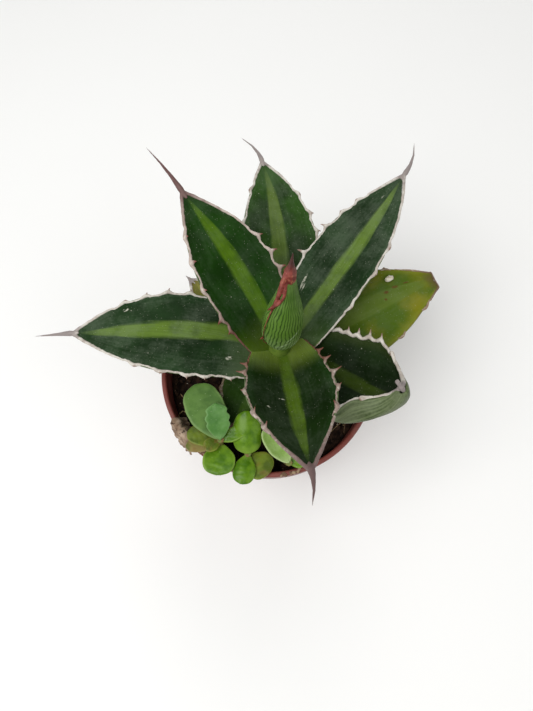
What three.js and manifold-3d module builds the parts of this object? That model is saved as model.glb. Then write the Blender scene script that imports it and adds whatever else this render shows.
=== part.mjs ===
// A small agave with a pale midstripe, in a round nursery pot with a low companion succulent.
// Millimetres and degrees, +Z up, origin at the centre of the pot's flat base.
import * as THREE from 'three';
import { mergeVertices } from 'three/addons/utils/BufferGeometryUtils.js';
import Module from 'manifold-3d';

const wasm = await Module();
wasm.setup();

const clearance = 0.3;
const sliver = 0.02;

// Round 10.5 cm nursery pot
const pot = {
  height: 92,
  rimRadius: 52.5,
  rimDepth: 1.8,
  rimRound: 0.6,
  bandHeight: 15,
  bandSetback: 0.7,
  bandStep: 1.6,
  baseRadius: 37,
  baseChamfer: 1.2,
  wall: 1.2,
  lip: 2.4,
  floor: 1.6,
  drainHoles: 6,
  drainRadius: 4,
  drainCircle: 23,
  drainSides: 12,
  sides: 48,
};

// Potting soil, 12 mm below the rim
const soil = {
  top: 80,
  dome: 2.5,
  rough: 0.7,
  rings: 6,
  sides: 36,
};

// The crown is a little off the pot's axis
const crown = new THREE.Vector2(5.6, 6.4);
const stem = {
  bottom: 62,
  top: 104,
  bottomRadius: 8,
  topRadius: 5,
  sides: 14,
};

// Shared form of the agave leaves
const leafForm = {
  rootRadius: 4,
  widestAt: 0.43,
  rootNarrowing: 0.3,
  tip: 0.04,
  channelPower: 1.4,
  coreAtRoot: 6.5,
  coreAtTip: 1.8,
  edgeThickness: 0.9,
  stations: 13,
};

// Horny rim of each leaf, with its teeth
const rimForm = {
  width: 1.3,
  above: 0.35,
  below: 1.1,
  start: 0.09,
  end: 0.975,
  step: 0.06,
  toothRoot: 1.5,
  toothHook: 0.3,
  toothFoot: 0.2,
  dip: 0.35,
  spineRadius: 1.7,
  spineRoot: 4.5,
  tipThickness: 0.9,
  outerAbove: 0.3,
  outerBelow: 0.4,
  spineSides: 6,
  spineTaper: [[0, 1], [0.35, 0.62], [0.7, 0.36], [1, 0.18]],
};

// The open leaves, youngest first. facing and turn lie in the plan, rise is the midrib's slope
// at its root and tip, curl lifts the far end, fold is the channel of each half. The teeth of each
// edge are given as their share of the length, how far they stand out and how far they stand up.
const agaveLeaves = [
  { name: 'leaf_1', facing: 127, turn: -1, rise: [42, 16], curl: 0, length: 81.5, width: 39, roll: 3.5,
    root: 105, fold: 15, spine: 24, spineBend: 5.5,
    left: [[0.22, 1.2, 0.5], [0.3, 2, 0.6], [0.48, -0.5, 2], [0.63, -0.5, 2.4], [0.76, -0.5, 1.6]],
    right: [[0.24, 1.5, 0.5], [0.36, 2.2, 0.8], [0.46, 2.4, 0.8], [0.57, 1.4, 0.5]] },
  { name: 'leaf_2', facing: 277.5, turn: 0.5, rise: [33, 49], curl: 0, length: 82, width: 42.5, roll: 1,
    root: 105, fold: 24, spine: 19, spineBend: -9,
    left: [[0.12, 2, 0.8], [0.22, 2.2, 1], [0.36, 3.4, 1.6], [0.5, 0.8, 1], [0.65, -0.5, 2.4]],
    right: [[0.16, 2, 0.6], [0.24, 3, 0.5], [0.42, 0.8, 0.4], [0.61, -0.5, 2.2], [0.72, -0.5, 2.2]] },
  { name: 'leaf_3', facing: 52, turn: 4, rise: [27, -3], curl: 0, length: 107, width: 37, roll: -11,
    root: 100, fold: 8, spine: 21, spineBend: 16,
    left: [[0.26, 1.4, 0.5], [0.4, 4, 0.8], [0.56, 2.6, 0.6], [0.66, 0.9, 0.4], [0.75, 0.8, 0.4]],
    right: [[0.3, 1, 0.4], [0.47, 1.2, 0.6], [0.6, 0.8, 0.5]] },
  { name: 'leaf_4', facing: 174.5, turn: 3.5, rise: [25, -16], curl: 0, length: 98.5, width: 42.5, roll: 0,
    root: 98.5, fold: 12, spine: 20, spineBend: 0,
    left: [[0.2, 1.4, 0.5], [0.32, 1.4, 0.6], [0.4, 1.8, 0.5], [0.52, 1, 0.4], [0.64, 1, 0.4]],
    right: [[0.3, 1.2, 0.5], [0.43, 1.6, 0.5], [0.53, 1.8, 0.5], [0.63, 1.2, 0.5], [0.73, 0.9, 0.4]] },
  { name: 'leaf_5', facing: 329, turn: -2, rise: [14, 8], curl: 125, length: 80, width: 50, roll: 0,
    root: 95, fold: 30, spine: 4, spineBend: 0,
    left: [[0.18, 1, 0.6], [0.24, 1.2, 0.8], [0.3, 2, 1.2], [0.37, 2.6, 1.6], [0.45, 3, 1.8],
      [0.55, 2.8, 1.8], [0.71, -0.5, 2]],
    right: [[0.3, 1.2, 0.5], [0.45, 1.4, 0.8], [0.61, -0.5, 2.4], [0.78, 0.6, 0.8]] },
  { name: 'leaf_6', facing: 85.5, turn: 19, rise: [26, -9], curl: 0, length: 107, width: 42, roll: 6,
    root: 91.5, fold: 15, spine: 20, spineBend: 20,
    left: [[0.45, 1.2, 0.5], [0.6, 1.2, 0.5], [0.79, 0.7, 0.4]],
    right: [[0.4, 1.6, 0.6], [0.54, 1.8, 0.5], [0.63, 1.8, 0.6], [0.74, 0.8, 0.4]] },
  { name: 'leaf_7', facing: 238, turn: 0, rise: [14, 2], curl: 0, length: 41, width: 37, roll: 0,
    root: 89, fold: 12, spine: 1.5, spineBend: 0,
    left: [[0.35, 1, 0.3], [0.62, 1, 0.3]],
    right: [[0.4, 1, 0.3], [0.66, 1, 0.3]] },
  { name: 'leaf_8', facing: 25, turn: 1, rise: [21, 0], curl: 0, length: 84.5, width: 44.5, roll: 10,
    root: 87, fold: 12, spine: 0, spineBend: 0, tip: 0.22, spineRoot: 2.2,
    left: [[0.6, 1.2, 0.4], [0.75, 1.4, 0.6]],
    right: [[0.5, 1, 0.4], [0.65, 1, 0.4], [0.86, 1, 1.2]] },
  { name: 'leaf_9', facing: 138, turn: 0, rise: [24, -4], curl: 0, length: 60, width: 34, roll: 0,
    root: 85, fold: 10, spine: 3, spineBend: 0,
    left: [[0.5, 1.4, 0.5], [0.7, 1.2, 0.5]],
    right: [[0.5, 1.4, 0.5], [0.7, 1.2, 0.5]] },
];

// Rolled centre bud: heights above its root and radii there
const bud = {
  foot: new THREE.Vector3(5.6, 6.4, 104.6),
  tip: new THREE.Vector3(8, 11, 172),
  radii: [[0, 4.6], [0.1, 6], [0.18, 8], [0.28, 8.9], [0.42, 8.4], [0.6, 6.5], [0.8, 3.9], [0.94, 1.7], [1, 1]],
  flatten: 0.86,
  sides: 14,
};

// Red edge of the bud's outermost leaf: where it climbs, its teeth, and its spine's radii
const budRim = {
  facing: 195,
  twist: 25,
  start: 0.12,
  end: 0.97,
  stations: 20,
  halfSpan: 1,
  proud: 0.9,
  toothProud: 2.6,
  sunk: 1,
  teeth: [0.22, 0.56],
  toothShare: 0.025,
  spine: [[-4, 2], [0, 1.7], [5, 0.9], [10, 0.3]],
};

// Low companion succulent: three rooted shoots, each leaf leaving its stem at a share of its height
const shootStem = { radius: 1.6, depth: 8, sides: 8 };
const shootLeaf = { thickness: 1.9, edge: 0.8, stations: 6 };
const shoots = [
  { name: 'companion_west', foot: [-23.5, -38], head: [-21.5, -37, 102], leaves: [
    { at: 1, facing: 117, rise: [8, -2], length: 30, width: 19, cup: 0.1, scalloped: false },
    { at: 1, facing: 98, rise: [34, 14], length: 17, width: 11.5, cup: 0.15, scalloped: true },
    { at: 0.85, facing: 205, rise: [14, 8], length: 8, width: 6.5, cup: 0.3, scalloped: false },
    { at: 0.7, facing: 32, rise: [10, 4], length: 9, width: 7, cup: 0.3, scalloped: false },
    { at: 0.8, facing: 165, rise: [10, -4], length: 16, width: 9, cup: 0.2, scalloped: false },
    { at: 0.72, facing: 187, rise: [8, 0], length: 16, width: 7, cup: 0.15, scalloped: false },
    { at: 0.7, facing: 268, rise: [12, -6], length: 15, width: 15, cup: 0.12, scalloped: false },
  ] },
  { name: 'companion_south', foot: [-8.5, -42.5], head: [-9.3, -42.5, 97], leaves: [
    { at: 1, facing: 92, rise: [36, 12], length: 20, width: 14.5, cup: -0.3, scalloped: false },
    { at: 0.9, facing: 258, rise: [14, -10], length: 14, width: 10.5, cup: -0.15, scalloped: false },
    { at: 0.75, facing: 318, rise: [10, 0], length: 13, width: 12, cup: 0.1, scalloped: false },
  ] },
  { name: 'companion_east', foot: [8.5, -43.5], head: [9.5, -46.5, 96], leaves: [
    { at: 1, facing: 124, rise: [22, 8], length: 19.5, width: 11, cup: 0.45, scalloped: false },
    { at: 0.9, facing: 98, rise: [18, 6], length: 18, width: 11, cup: 0.2, scalloped: false },
    { at: 0.8, facing: 15, rise: [10, 0], length: 9, width: 8, cup: 0.2, scalloped: false },
  ] },
];

// Dry papery leaf draped over the pot's edge: radius and height along its fall
const dryLeaf = {
  from: 224,
  to: 245,
  steps: 9,
  thickness: 0.9,
  fall: [[47.5, 85], [49, 90], [50, 93.2], [52.5, 93.6], [54, 92], [55.2, 87], [56, 79]],
};

const colours = {
  pot: '#8f4a40',
  soil: '#1d1512',
  stem: '#7d8a4c',
  blade: '#2b4527',
  agedBlade: '#65782c',
  rim: '#b7a59c',
  youngRim: '#96503f',
  bud: '#56803a',
  companion: '#5f9133',
  dryLeaf: '#b39b7c',
};

const rad = THREE.MathUtils.degToRad;
const fullTurn = 2 * Math.PI;
const between = THREE.MathUtils.lerp;

// Unit vector at a plan angle and a slope, both in radians
function heading(plan, slope) {
  const flat = Math.cos(slope);
  return new THREE.Vector3(Math.cos(plan) * flat, Math.sin(plan) * flat, Math.sin(slope));
}

// Repeatable draw between -1 and 1
function drawer(seed) {
  let state = seed;
  return () => {
    state = (state * 16807) % 2147483647;
    return (state / 2147483647) * 2 - 1;
  };
}

function toSolid(geometry) {
  const bare = geometry.clone();
  bare.deleteAttribute('normal');
  bare.deleteAttribute('uv');
  const merged = mergeVertices(bare, 1e-4);
  const vertProperties = new Float32Array(merged.attributes.position.array);
  const triVerts = new Uint32Array(merged.index.array);
  return new wasm.Manifold(new wasm.Mesh({ numProp: 3, vertProperties, triVerts }));
}

function toGeometry(solid) {
  const mesh = solid.getMesh();
  const geometry = new THREE.BufferGeometry();
  geometry.setAttribute('position', new THREE.BufferAttribute(new Float32Array(mesh.vertProperties), 3));
  geometry.setIndex(new THREE.BufferAttribute(new Uint32Array(mesh.triVerts), 1));
  geometry.computeVertexNormals();
  return geometry;
}

// Closed skin through rings of an even number of points, anticlockwise seen against the way of
// travel. Each end is closed by a ladder of triangles between the two halves of its ring.
function loft(rings) {
  const sides = rings[0].length;
  const positions = rings.flat().flatMap((point) => point.toArray());
  const faces = [];
  for (let ring = 0; ring < rings.length - 1; ring += 1) {
    for (let side = 0; side < sides; side += 1) {
      const here = ring * sides + side;
      const next = ring * sides + ((side + 1) % sides);
      faces.push(here, next, next + sides, here, next + sides, here + sides);
    }
  }
  const last = (rings.length - 1) * sides;
  for (let rung = 0; rung < sides / 2 - 1; rung += 1) {
    const [a, b] = [rung, rung + 1];
    const [c, d] = [sides - 2 - rung, sides - 1 - rung];
    faces.push(a, c, b, a, d, c);
    faces.push(last + a, last + b, last + c, last + a, last + c, last + d);
  }
  const geometry = new THREE.BufferGeometry();
  geometry.setAttribute('position', new THREE.Float32BufferAttribute(positions, 3));
  geometry.setIndex(faces);
  return geometry;
}

// Oval ring of points about a centre
function ovalRing(centre, side, up, wide, high, sides) {
  return Array.from({ length: sides }, (_, step) => {
    const angle = (step / sides) * fullTurn;
    return centre.clone()
      .addScaledVector(side, wide * Math.cos(angle))
      .addScaledVector(up, high * Math.sin(angle));
  });
}

function largestPiece(solid) {
  const pieces = solid.decompose();
  pieces.sort((a, b) => b.volume() - a.volume());
  return pieces[0];
}

function cutAway(solid, cutters) {
  let rest = solid;
  for (const cutter of cutters) {
    rest = rest.subtract(cutter);
  }
  return largestPiece(rest.simplify(sliver));
}

function named(name, geometry, colour, roughness) {
  const material = new THREE.MeshStandardMaterial({ color: colour, roughness, metalness: 0 });
  const mesh = new THREE.Mesh(geometry, material);
  mesh.name = name;
  return mesh;
}

const bandFoot = pot.height - pot.bandHeight;
const wallTop = pot.rimRadius - pot.bandSetback - pot.bandStep;

// Pot: stepped rim band, tapering wall, flat floor with round drain holes
function potSolid() {
  const { height, rimRadius, rimDepth, rimRound, baseRadius, baseChamfer } = pot;
  const bandRadius = rimRadius - pot.bandSetback;
  const inside = rimRadius - pot.lip;
  const profile = [
    [0, 0],
    [baseRadius - baseChamfer, 0],
    [baseRadius, baseChamfer],
    [wallTop, bandFoot - 1],
    [bandRadius - 0.4, bandFoot],
    [bandRadius, height - rimDepth - rimRound],
    [rimRadius, height - rimDepth],
    [rimRadius, height - rimRound],
    [rimRadius - rimRound, height],
    [inside + rimRound, height],
    [inside, height - rimRound],
    [wallTop - pot.wall, bandFoot],
    [baseRadius - pot.wall, pot.floor],
    [0, pot.floor],
  ].map(([radius, z]) => new THREE.Vector2(radius, z));
  let solid = toSolid(new THREE.LatheGeometry(profile, pot.sides).rotateX(Math.PI / 2));
  for (let hole = 0; hole < pot.drainHoles; hole += 1) {
    const angle = (hole / pot.drainHoles) * fullTurn;
    const drill = new THREE.CylinderGeometry(pot.drainRadius, pot.drainRadius, 4 * pot.floor, pot.drainSides);
    drill.rotateX(Math.PI / 2);
    drill.translate(pot.drainCircle * Math.cos(angle), pot.drainCircle * Math.sin(angle), 0);
    solid = solid.subtract(toSolid(drill));
  }
  return solid;
}

// Radius of the pot's inner wall at a height
function potInsideAt(z) {
  if (z < bandFoot) {
    return between(pot.baseRadius, wallTop, (z - pot.floor) / (bandFoot - pot.floor)) - pot.wall;
  }
  return between(wallTop - pot.wall, pot.rimRadius - pot.lip, (z - bandFoot) / pot.bandHeight);
}

// Soil fills the pot from its floor to an uneven, slightly domed top
function soilSolid(grow = 0) {
  const draw = drawer(7);
  const ringAt = (radius, heightAt) => Array.from({ length: soil.sides }, (_, side) => {
    const angle = (side / soil.sides) * fullTurn;
    return new THREE.Vector3(radius * Math.cos(angle), radius * Math.sin(angle), heightAt());
  });
  const rings = [pot.floor + clearance, bandFoot - 1].map((height) => (
    ringAt(potInsideAt(height) - 2 * clearance, () => height)));
  for (let ring = 0; ring < soil.rings; ring += 1) {
    const share = 1 - ring / (soil.rings - 0.5);
    const radius = (potInsideAt(soil.top) - 2 * clearance) * share;
    const dome = soil.dome * (1 - share * share);
    rings.push(ringAt(radius, () => soil.top + dome + soil.rough * draw() + grow));
  }
  return toSolid(loft(rings));
}

// Short thick stem that carries the rosette
function stemSolid(grow = 0) {
  const length = stem.top - stem.bottom + 2 * grow;
  const [top, bottom] = [stem.topRadius + grow, stem.bottomRadius + grow];
  const shape = new THREE.CylinderGeometry(top, bottom, length, stem.sides);
  shape.rotateX(Math.PI / 2);
  shape.translate(crown.x, crown.y, (stem.top + stem.bottom) / 2);
  return toSolid(shape);
}

// Half of the leaf's width at a share of its length
function halfWidth(leaf, share) {
  const { widestAt, rootNarrowing } = leafForm;
  const tipShare = leaf.tip ?? leafForm.tip;
  const inner = 1 - rootNarrowing * (1 - share / widestAt) ** 2;
  const beyond = (share - widestAt) / (1 - widestAt);
  const outer = tipShare + (1 - tipShare) * Math.cos((beyond * Math.PI) / 2);
  return (leaf.width / 2) * (share < widestAt ? inner : outer);
}

// Midrib as a walk outward from the crown; gives the frame at any share of the length
function midribOf(leaf) {
  const steps = 96;
  const slopeAt = (share) => rad(between(leaf.rise[0], leaf.rise[1], share) + leaf.curl * share ** 3);
  const wayAt = (share) => heading(rad(leaf.facing + leaf.turn * share), slopeAt(share));
  const start = wayAt(0).setZ(0).setLength(leafForm.rootRadius);
  const points = [new THREE.Vector3(crown.x, crown.y, leaf.root).add(start)];
  for (let step = 1; step <= steps; step += 1) {
    const way = wayAt((step - 0.5) / steps).multiplyScalar(leaf.length / steps);
    points.push(points[step - 1].clone().add(way));
  }
  return (share) => {
    const place = THREE.MathUtils.clamp(share, 0, 1) * steps;
    const step = Math.min(Math.floor(place), steps - 1);
    const way = wayAt(share);
    const plan = rad(leaf.facing + leaf.turn * share);
    const level = new THREE.Vector3(-Math.sin(plan), Math.cos(plan), 0);
    const side = level.clone().applyAxisAngle(way, rad(leaf.roll));
    const up = way.clone().cross(side);
    return { point: points[step].clone().lerp(points[step + 1], place - step), way, side, up };
  };
}

// Point on the channelled upper face: reach is measured from the midrib towards the left side
function onFace(leaf, frame, share, reach, lift) {
  const half = halfWidth(leaf, share);
  const fold = rad(leaf.fold);
  const rise = half * Math.sin(fold) * (Math.abs(reach) / half) ** leafForm.channelPower;
  return frame.point.clone()
    .addScaledVector(frame.side, reach * Math.cos(fold))
    .addScaledVector(frame.up, rise + lift);
}

// How far the terminal spine runs back between the blade's edges
function spineRootOf(leaf) {
  return leaf.spineRoot ?? rimForm.spineRoot;
}

function bladeSolid(leaf, grow = 0) {
  const frameAt = midribOf(leaf);
  const { coreAtRoot, coreAtTip, edgeThickness, stations } = leafForm;
  const end = 1 - (spineRootOf(leaf) + clearance - grow) / leaf.length;
  const rings = [];
  for (let station = 0; station <= stations; station += 1) {
    const share = end * (station / stations);
    const frame = frameAt(share);
    const reach = halfWidth(leaf, share) - rimForm.width - clearance + grow;
    const core = between(coreAtRoot, coreAtTip, Math.sqrt(share));
    const ring = [];
    for (const place of [1, 0.5, 0, -0.5, -1]) {
      ring.push(onFace(leaf, frame, share, reach * place, grow));
    }
    for (const place of [-1, -0.55, 0, 0.55, 1]) {
      const depth = between(core, edgeThickness, place * place) + grow;
      ring.push(onFace(leaf, frame, share, reach * place, -depth));
    }
    rings.push(ring);
  }
  return toSolid(loft(rings));
}

// Stations along one leaf edge, as share, outset and lift: three to a tooth, dips between teeth
function edgeLine(leaf, teeth) {
  const { start, end, step, toothRoot, toothHook, toothFoot, dip } = rimForm;
  const root = toothRoot / leaf.length;
  const line = teeth.flatMap(([share, out, up]) => [
    [share - root, toothFoot, 0],
    [share - toothHook * root, out, up],
    [share + root, toothFoot, 0],
  ]);
  const [first, last] = [teeth[0][0], teeth[teeth.length - 1][0]];
  const steps = Math.round((end - start) / step);
  for (let place = 0; place <= steps; place += 1) {
    const share = between(start, end, place / steps);
    const free = teeth.every(([tooth]) => Math.abs(tooth - share) > 1.4 * root);
    if (free) {
      line.push([share, share > first && share < last ? -dip : 0, 0]);
    }
  }
  return line.sort(([one], [other]) => one - other);
}

function edgeSolid(leaf, hand, teeth, grow) {
  const frameAt = midribOf(leaf);
  const rings = edgeLine(leaf, teeth).map(([share, outset, lift]) => {
    const frame = frameAt(share);
    const half = halfWidth(leaf, share);
    const inner = half - rimForm.width - grow;
    const outer = half + outset + grow;
    const ring = [
      onFace(leaf, frame, share, hand * outer, lift + rimForm.outerAbove + grow),
      onFace(leaf, frame, share, hand * inner, rimForm.above + grow),
      onFace(leaf, frame, share, hand * inner, -rimForm.below - grow),
      onFace(leaf, frame, share, hand * outer, lift - rimForm.outerBelow - grow),
    ];
    return hand > 0 ? ring : ring.reverse();
  });
  return toSolid(loft(rings));
}

// Terminal spine, running back into both edges as a flat horny tip
function spineSolid(leaf, grow) {
  const frameAt = midribOf(leaf);
  const { spineRadius, spineSides, tipThickness } = rimForm;
  const spineRoot = spineRootOf(leaf);
  const ringAt = (centre, frame, wide, thick) => (
    ovalRing(centre, frame.side, frame.up, wide + grow, thick + grow, spineSides));
  const rings = [];
  for (const back of [spineRoot, 0.6 * spineRoot, 0.25 * spineRoot]) {
    const share = 1 - back / leaf.length;
    const frame = frameAt(share);
    const half = halfWidth(leaf, share);
    const centre = onFace(leaf, frame, share, 0, 0.3 * half * Math.sin(rad(leaf.fold)));
    const thick = between(tipThickness, spineRadius, 1 - back / spineRoot);
    rings.push(ringAt(centre, frame, half - 0.4, thick));
  }
  const tip = frameAt(1);
  const bend = rad(leaf.spineBend);
  for (const [share, size] of rimForm.spineTaper) {
    const sideways = leaf.spine * share * Math.tan(bend * share);
    const centre = tip.point.clone()
      .addScaledVector(tip.way, Math.max(leaf.spine, 1) * share)
      .addScaledVector(tip.side, sideways);
    rings.push(ringAt(centre, tip, spineRadius * size, spineRadius * size));
  }
  return toSolid(loft(rings));
}

function rimSolid(leaf, grow = 0) {
  const left = edgeSolid(leaf, 1, leaf.left, grow);
  const right = edgeSolid(leaf, -1, leaf.right, grow);
  return left.add(right).add(spineSolid(leaf, grow));
}

// Rolled bud: ring centres run from its foot to its tip
function budFrame(share) {
  const axis = bud.tip.clone().sub(bud.foot);
  const way = axis.clone().normalize();
  const side = new THREE.Vector3(1, 0, 0).addScaledVector(way, -way.x).normalize();
  return { point: bud.foot.clone().addScaledVector(axis, share), way, side, up: way.clone().cross(side) };
}

function budPoint(share, angle, radius) {
  const frame = budFrame(share);
  return frame.point.clone()
    .addScaledVector(frame.side, radius * Math.cos(angle))
    .addScaledVector(frame.up, radius * bud.flatten * Math.sin(angle));
}

function budRadius(share) {
  const next = Math.max(1, bud.radii.findIndex(([place]) => place >= share));
  const [lowPlace, low] = bud.radii[next - 1];
  const [highPlace, high] = bud.radii[next];
  return between(low, high, (share - lowPlace) / (highPlace - lowPlace));
}

function budSolid(grow = 0) {
  const rings = bud.radii.map(([share, radius]) => {
    const { point, side, up } = budFrame(share);
    return ovalRing(point, side, up, radius + grow, (radius + grow) * bud.flatten, bud.sides);
  });
  return toSolid(loft(rings));
}

// Red horny edge that climbs the bud's flank and ends in its spine
function budRimSolid(grow = 0) {
  const { stations, halfSpan, proud, toothProud, sunk } = budRim;
  const rings = [];
  for (let station = 0; station <= stations; station += 1) {
    const share = between(budRim.start, budRim.end, station / stations);
    const onTooth = budRim.teeth.some((tooth) => Math.abs(tooth - share) < budRim.toothShare);
    const radius = budRadius(share);
    const spread = (halfSpan + grow) / radius;
    const angle = rad(budRim.facing + budRim.twist * share);
    rings.push([
      budPoint(share, angle - spread, radius + 0.5 * proud + grow),
      budPoint(share, angle, radius + (onTooth ? toothProud : proud) + grow),
      budPoint(share, angle + spread, radius + 0.5 * proud + grow),
      budPoint(share, angle, radius - sunk - grow),
    ]);
  }
  const { point, way, side, up } = budFrame(1);
  const spineRings = budRim.spine.map(([along, radius]) => (
    ovalRing(point.clone().addScaledVector(way, along), side, up, radius + grow, radius + grow, 8)));
  return toSolid(loft(rings)).add(toSolid(loft(spineRings)));
}

// One fleshy spoon-shaped leaf of the companion
function shootLeafSolid(leaf, from) {
  const { thickness, edge, stations } = shootLeaf;
  const rings = [];
  const point = from.clone();
  const plan = rad(leaf.facing);
  const side = new THREE.Vector3(-Math.sin(plan), Math.cos(plan), 0);
  for (let station = 0; station <= stations; station += 1) {
    const share = station / stations;
    const slope = rad(between(leaf.rise[0], leaf.rise[1], share));
    const way = heading(plan, slope);
    const up = way.clone().cross(side);
    const spoon = Math.sin(Math.PI * Math.min(1, 0.08 + 0.86 * share ** 1.15)) ** 0.62;
    const scallop = leaf.scalloped && station > 1 ? 1 + 0.09 * Math.cos(Math.PI * station) : 1;
    const half = Math.max(0.9, (leaf.width / 2) * spoon * scallop);
    const cup = leaf.cup * half;
    const upper = [[1, 0.5 * edge], [0.55, 0.5 * thickness], [-0.55, 0.5 * thickness], [-1, 0.5 * edge]];
    const lower = upper.map(([place, lift]) => [place, -lift]).reverse();
    rings.push([...upper, ...lower].map(([place, lift]) => point.clone()
      .addScaledVector(side, half * place)
      .addScaledVector(up, cup * place * place + lift)));
    point.addScaledVector(way, leaf.length / stations);
  }
  return toSolid(loft(rings));
}

function shootStemSolid(shoot, grow = 0) {
  const [headX, headY, headZ] = shoot.head;
  const foot = new THREE.Vector3(...shoot.foot, soil.top - shootStem.depth - grow);
  const knee = new THREE.Vector3(...shoot.foot, soil.top);
  const head = new THREE.Vector3(headX, headY, headZ + 0.8);
  const radius = shootStem.radius + grow;
  const [east, north] = [new THREE.Vector3(1, 0, 0), new THREE.Vector3(0, 1, 0)];
  const rings = [foot, knee, head].map((centre) => (
    ovalRing(centre, east, north, radius, radius, shootStem.sides)));
  return toSolid(loft(rings));
}

function shootSolid(shoot) {
  const knee = new THREE.Vector3(...shoot.foot, soil.top);
  const head = new THREE.Vector3(...shoot.head);
  let solid = shootStemSolid(shoot);
  for (const leaf of shoot.leaves) {
    solid = solid.add(shootLeafSolid(leaf, knee.clone().lerp(head, leaf.at)));
  }
  return largestPiece(solid);
}

// Sheet bent over the pot's edge, with uneven side ends
function dryLeafSolid() {
  const draw = drawer(19);
  const { from, to, steps, thickness, fall } = dryLeaf;
  const rings = [];
  for (let step = 0; step <= steps; step += 1) {
    const share = step / steps;
    const angle = rad(between(from, to, share));
    const reach = 0.55 + 0.45 * Math.sin(Math.PI * (0.1 + 0.85 * share)) + 0.08 * draw();
    const middle = fall[3];
    const outer = [];
    const inner = [];
    fall.forEach(([radius, height], index) => {
      const low = between(middle[1], height, reach);
      const [beforeR, beforeZ] = fall[Math.max(index - 1, 0)];
      const [afterR, afterZ] = fall[Math.min(index + 1, fall.length - 1)];
      const normal = new THREE.Vector2(beforeZ - afterZ, afterR - beforeR).setLength(thickness);
      const ray = heading(angle, 0);
      outer.push(ray.clone().multiplyScalar(radius + normal.x).setZ(low + normal.y));
      inner.push(ray.multiplyScalar(radius).setZ(low));
    });
    rings.push([...outer, ...inner.reverse()]);
  }
  return toSolid(loft(rings));
}

function build() {
  const plant = new THREE.Group();
  const stemCutter = stemSolid(clearance);
  const shootHoles = shoots.map((shoot) => shootStemSolid(shoot, clearance));
  const budRimCutter = budRimSolid(clearance);
  const cutters = [stemCutter, soilSolid(clearance), budSolid(clearance), budRimCutter];

  plant.add(named('pot', toGeometry(potSolid()), colours.pot, 0.5));
  plant.add(named('soil', toGeometry(cutAway(soilSolid(), [stemCutter, ...shootHoles])), colours.soil, 0.95));
  plant.add(named('agave_stem', toGeometry(stemSolid()), colours.stem, 0.6));
  plant.add(named('bud', toGeometry(cutAway(budSolid(), [budRimCutter])), colours.bud, 0.45));
  plant.add(named('bud_rim', toGeometry(budRimSolid()), colours.youngRim, 0.5));

  for (const leaf of agaveLeaves) {
    const blade = cutAway(bladeSolid(leaf), cutters);
    const rim = cutAway(rimSolid(leaf), cutters);
    const aged = leaf.name === 'leaf_8' || leaf.name === 'leaf_9';
    plant.add(named(leaf.name, toGeometry(blade), aged ? colours.agedBlade : colours.blade, 0.45));
    plant.add(named(`${leaf.name}_rim`, toGeometry(rim), colours.rim, 0.6));
    cutters.push(bladeSolid(leaf, clearance), rimSolid(leaf, clearance));
  }

  for (const shoot of shoots) {
    plant.add(named(shoot.name, toGeometry(shootSolid(shoot)), colours.companion, 0.4));
  }
  plant.add(named('dry_leaf', toGeometry(dryLeafSolid()), colours.dryLeaf, 0.9));
  return plant;
}

export default build();
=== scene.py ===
# A young agave with a pale midstripe in a nursery pot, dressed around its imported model
import math
import random

import bmesh
import bpy
import numpy as np
from mathutils import Matrix, Vector


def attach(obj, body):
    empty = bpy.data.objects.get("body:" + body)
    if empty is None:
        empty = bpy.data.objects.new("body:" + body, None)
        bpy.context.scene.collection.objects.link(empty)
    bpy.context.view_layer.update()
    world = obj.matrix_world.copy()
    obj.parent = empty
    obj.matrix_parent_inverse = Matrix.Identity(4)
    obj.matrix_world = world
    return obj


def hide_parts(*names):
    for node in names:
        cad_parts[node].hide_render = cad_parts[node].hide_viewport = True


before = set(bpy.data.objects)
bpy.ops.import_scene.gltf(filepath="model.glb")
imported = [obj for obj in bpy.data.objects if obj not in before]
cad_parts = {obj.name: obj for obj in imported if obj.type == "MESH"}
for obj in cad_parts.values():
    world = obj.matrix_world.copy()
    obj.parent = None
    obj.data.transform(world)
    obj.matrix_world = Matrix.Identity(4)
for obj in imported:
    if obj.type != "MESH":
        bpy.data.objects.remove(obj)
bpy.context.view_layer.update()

mm = 0.001
fullTurn = 2 * math.pi
onLine = 1e-5  # m, a point this near to a line of the mesh counts as on it

print("frame loaded")


# small helpers

def makeActive(*pieces):  # selects these alone, the first one active
    if bpy.context.object and bpy.context.object.mode != "OBJECT":
        bpy.ops.object.mode_set(mode="OBJECT")
    bpy.ops.object.select_all(action="DESELECT")
    for piece in pieces:
        piece.select_set(True)
    if pieces:
        bpy.context.view_layer.objects.active = pieces[0]


def addShape(primitive, **settings):  # everything else is deselected first
    makeActive()
    primitive(**settings)
    return bpy.context.object


def selectAll():
    bpy.ops.mesh.select_all(action="SELECT")


def startEdit(piece):  # with all its points selected
    makeActive(piece)
    bpy.ops.object.mode_set(mode="EDIT")
    bpy.ops.mesh.select_mode(type="VERT")
    selectAll()


def endEdit():
    bpy.ops.object.mode_set(mode="OBJECT")


def pick(piece, test):  # selects the points whose place passes the test
    shape = bmesh.from_edit_mesh(piece.data)
    for vertex in shape.verts:
        vertex.select = test(vertex.co)
    shape.select_flush_mode()
    bmesh.update_edit_mesh(piece.data)


def moveBy(x, y, z):
    bpy.ops.transform.translate(value=(x, y, z))


def scaleBy(x, y, z, centre=(0, 0, 0)):
    bpy.ops.transform.resize(value=(x, y, z), center_override=centre)


def extrudeBy(step):
    bpy.ops.mesh.extrude_region_move(TRANSFORM_OT_translate={"value": step})


def shake(offset, seed, uniform=0.0, normal=0.0):  # mm
    bpy.ops.transform.vertex_random(offset=offset * mm, uniform=uniform, normal=normal, seed=seed)


def faceOut(weld=0):
    selectAll()
    if weld:
        bpy.ops.mesh.remove_doubles(threshold=weld)
    bpy.ops.mesh.normals_make_consistent(inside=False)


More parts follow.
